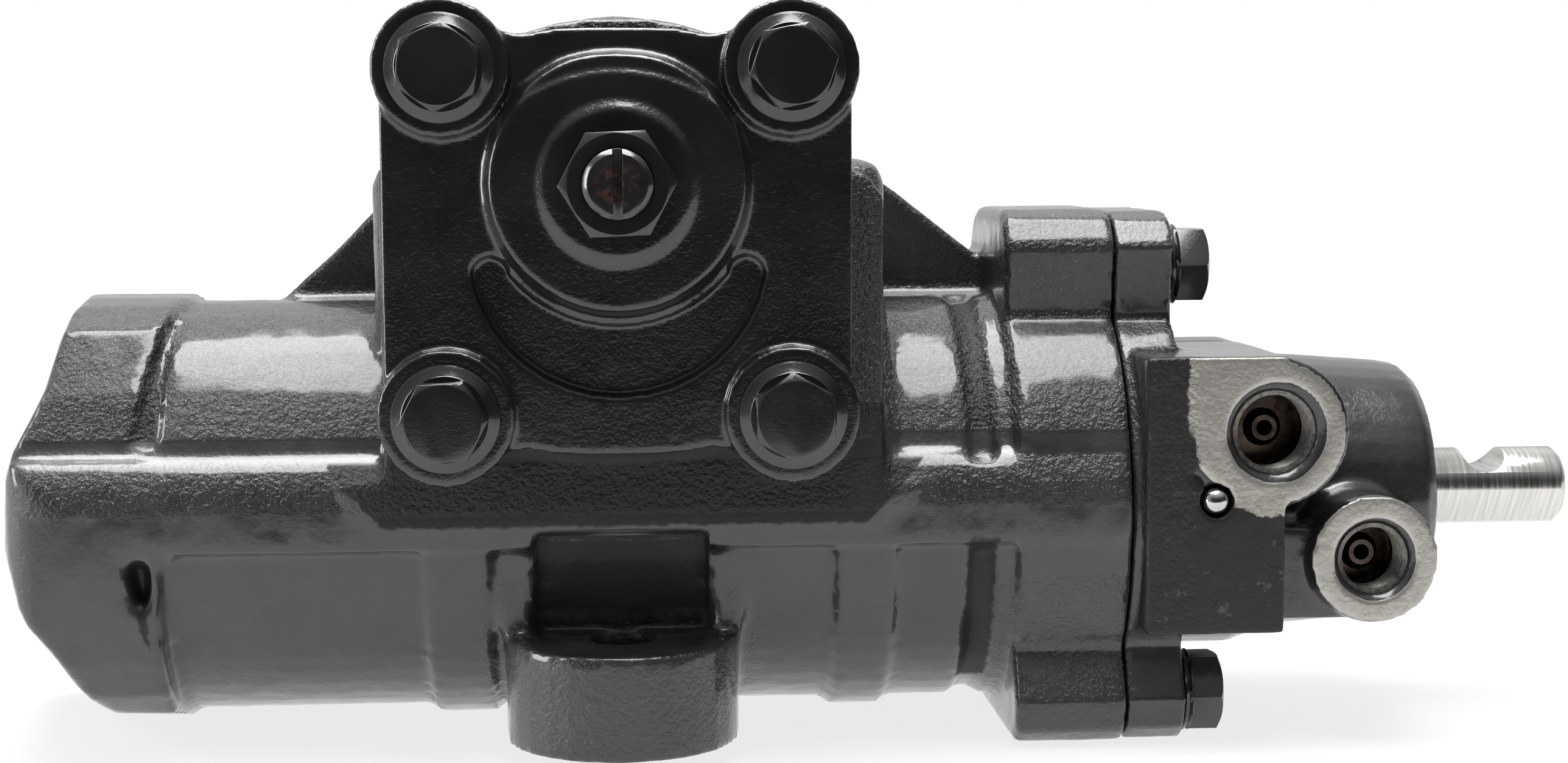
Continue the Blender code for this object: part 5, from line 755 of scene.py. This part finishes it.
for name, seat_node, face, bore, depth in (
        ("pressure_port", "pressure_port_seat", PORT_FACE_Y, 0.0100, 0.0125),
        ("return_port", "return_port_seat", LOWER_PORT_FACE_Y, 0.0086, 0.0125)):
    low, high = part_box(seat_node)
    turns = int((depth - THREAD_START - 0.0004) / THREAD_PITCH)
    profile = [(bore + 0.0003, -THREAD_START), (bore + 0.0003, -THREAD_START - turns * THREAD_PITCH)]
    for turn in range(turns, 0, -1):
        level = -THREAD_START - turn * THREAD_PITCH
        profile += [(bore - 0.0001, level + 0.0001), (bore - 0.0010, level + 0.0006),
                    (bore - 0.0010, level + 0.0009)]
    profile.append((bore - 0.0001, -THREAD_START - 0.0001))
    thread = turned_piece(f"{name}_thread", profile, 72, ring=True)
    set_in_place(thread, Vector(((low.x + high.x) / 2, face, (low.z + high.z) / 2)), TOWARDS_COVER, 0)
    dress(thread, dark_iron, "housing", "housing_paint")
refinish(brass, "pressure_port_seat", "return_port_seat")
plug = merged_copy("passage_ball_plug", "drilling_ball_plug")
divide = plug.modifiers.new("divide", "SUBSURF")
divide.levels = divide.render_levels = 1
apply_modifiers(plug)
only(plug)
bpy.ops.object.shade_smooth()
dress(plug, polished_steel, "housing", "bearing_steel", "passage_ball_plug")

# The input stub: bright ground steel that carries the slotted valve spool at its inner end and,
# outside, the long flat and the cross notch for the column coupling's pinch bolt.
ground_steel = speckled("ground_steel", (0.60, 0.59, 0.56), (0.78, 0.77, 0.75), 1.0, 0.22, 1.0, 0.0000015,
                        (1100.0, 40.0, 40.0))
stub = merged_copy("input_shaft", "input_stub")
round_edges(stub, 0.00025)
dress(stub, ground_steel, "input", "shaft_steel", "input_shaft")

# The seals and bearings at the input end: a rubber dust lip over a wire ring and the oil seal,
# and a caged needle bearing behind them.
rubber = speckled("seal_rubber", (0.018, 0.018, 0.018), (0.035, 0.035, 0.034), 1200.0, 0.60)
bearing_steel = speckled("bearing_steel", (0.48, 0.48, 0.50), (0.64, 0.64, 0.65), 600.0, 0.22, 1.0, 0.00001)
for node, name in (("input_dust_seal", "input_dust_lip"), ("input_oil_seal", "input_lip_seal")):
    seal = merged_copy(node, name)
    round_edges(seal, 0.0003)
    dress(seal, rubber, "housing", "seal_rubber", node)
refinish(bearing_steel, "input_seal_ring", "input_needle_bearing", "left_thrust_bearing",
         "right_thrust_bearing", "adjuster_shim")
refinish(rubber, "valve_housing_seal")

# The sector shaft: a forged and ground gear that runs in the front bush and the needle bearing
# and ends in the splines and thread that carry the drop arm.
gear_steel = speckled("gear_steel", (0.30, 0.30, 0.31), (0.48, 0.48, 0.49), 700.0, 0.32, 1.0, 0.00002)
sector = merged_copy("sector_shaft", "sector_gear_shaft")
round_edges(sector, 0.00025)
dress(sector, gear_steel, "sector", "gear_steel", "sector_shaft")
bronze = speckled("bronze", (0.42, 0.27, 0.12), (0.60, 0.42, 0.21), 600.0, 0.32, 1.0)
refinish(bronze, "sector_front_bush")
refinish(bearing_steel, "sector_needle_bearing", "sector_seal_ring")
for node, name in (("sector_dust_seal", "output_dust_lip"), ("sector_oil_seal", "output_lip_seal")):
    seal = merged_copy(node, name)
    round_edges(seal, 0.0003)
    dress(seal, rubber, "housing", "seal_rubber", node)

# The drop-arm nut and its spring washer: black steel on the end of the sector shaft, at the back.
# They turn with the shaft.
ARM_NUT_FLATS = 0.0360
ARM_NUT_BORE_RADIUS = 0.01225
low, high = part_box("pitman_nut")
arm_nut = hexagon_head("drop_arm_nut", ARM_NUT_FLATS, high.y - low.y, 0.0, both_ends=True)
bpy.ops.object.select_all(action="DESELECT")
bpy.ops.mesh.primitive_cylinder_add(vertices=64, radius=ARM_NUT_BORE_RADIUS, depth=0.05,
                                    location=(0, 0, 0.005))
thread_hole = bpy.context.object
bpy.ops.object.transform_apply(location=True, rotation=True, scale=True)
cut_with(arm_nut, thread_hole, "DIFFERENCE")
round_edges(arm_nut, 0.0005, 3)
set_in_place(arm_nut, Vector(((low.x + high.x) / 2, high.y, (low.z + high.z) / 2)), TOWARDS_COVER,
             HEXAGON_CORNER)
dress(arm_nut, fastener_black, "sector", "fastener_paint", "pitman_nut")
washer = merged_copy("pitman_lock_washer", "drop_arm_washer")
round_edges(washer, 0.0003)
dress(washer, fastener_black, "sector", "fastener_paint", "pitman_lock_washer")

# Inside: the worm with its valve sleeve, the torsion bar, the rack piston with its balls and guide.
# Their CAD solids have the right shape and keep it, in ground, hardened or oiled finishes.
ring_plastic = speckled("ring_plastic", (0.06, 0.11, 0.10), (0.10, 0.16, 0.15), 900.0, 0.45)
refinish(gear_steel, "worm_shaft", "rack_piston", "valve_sleeve", "worm_bearing_retainer")
refinish(ring_plastic, "piston_ring", "sleeve_ring_1", "sleeve_ring_2", "sleeve_ring_3")
refinish(bearing_steel, "torsion_bar", "torsion_pin_worm", "torsion_pin_input", "sleeve_pin", "ball_guide",
         "guide_clamp", "clamp_screw_1", "clamp_screw_2", *[f"ball_{i:02d}" for i in range(1, 11)])
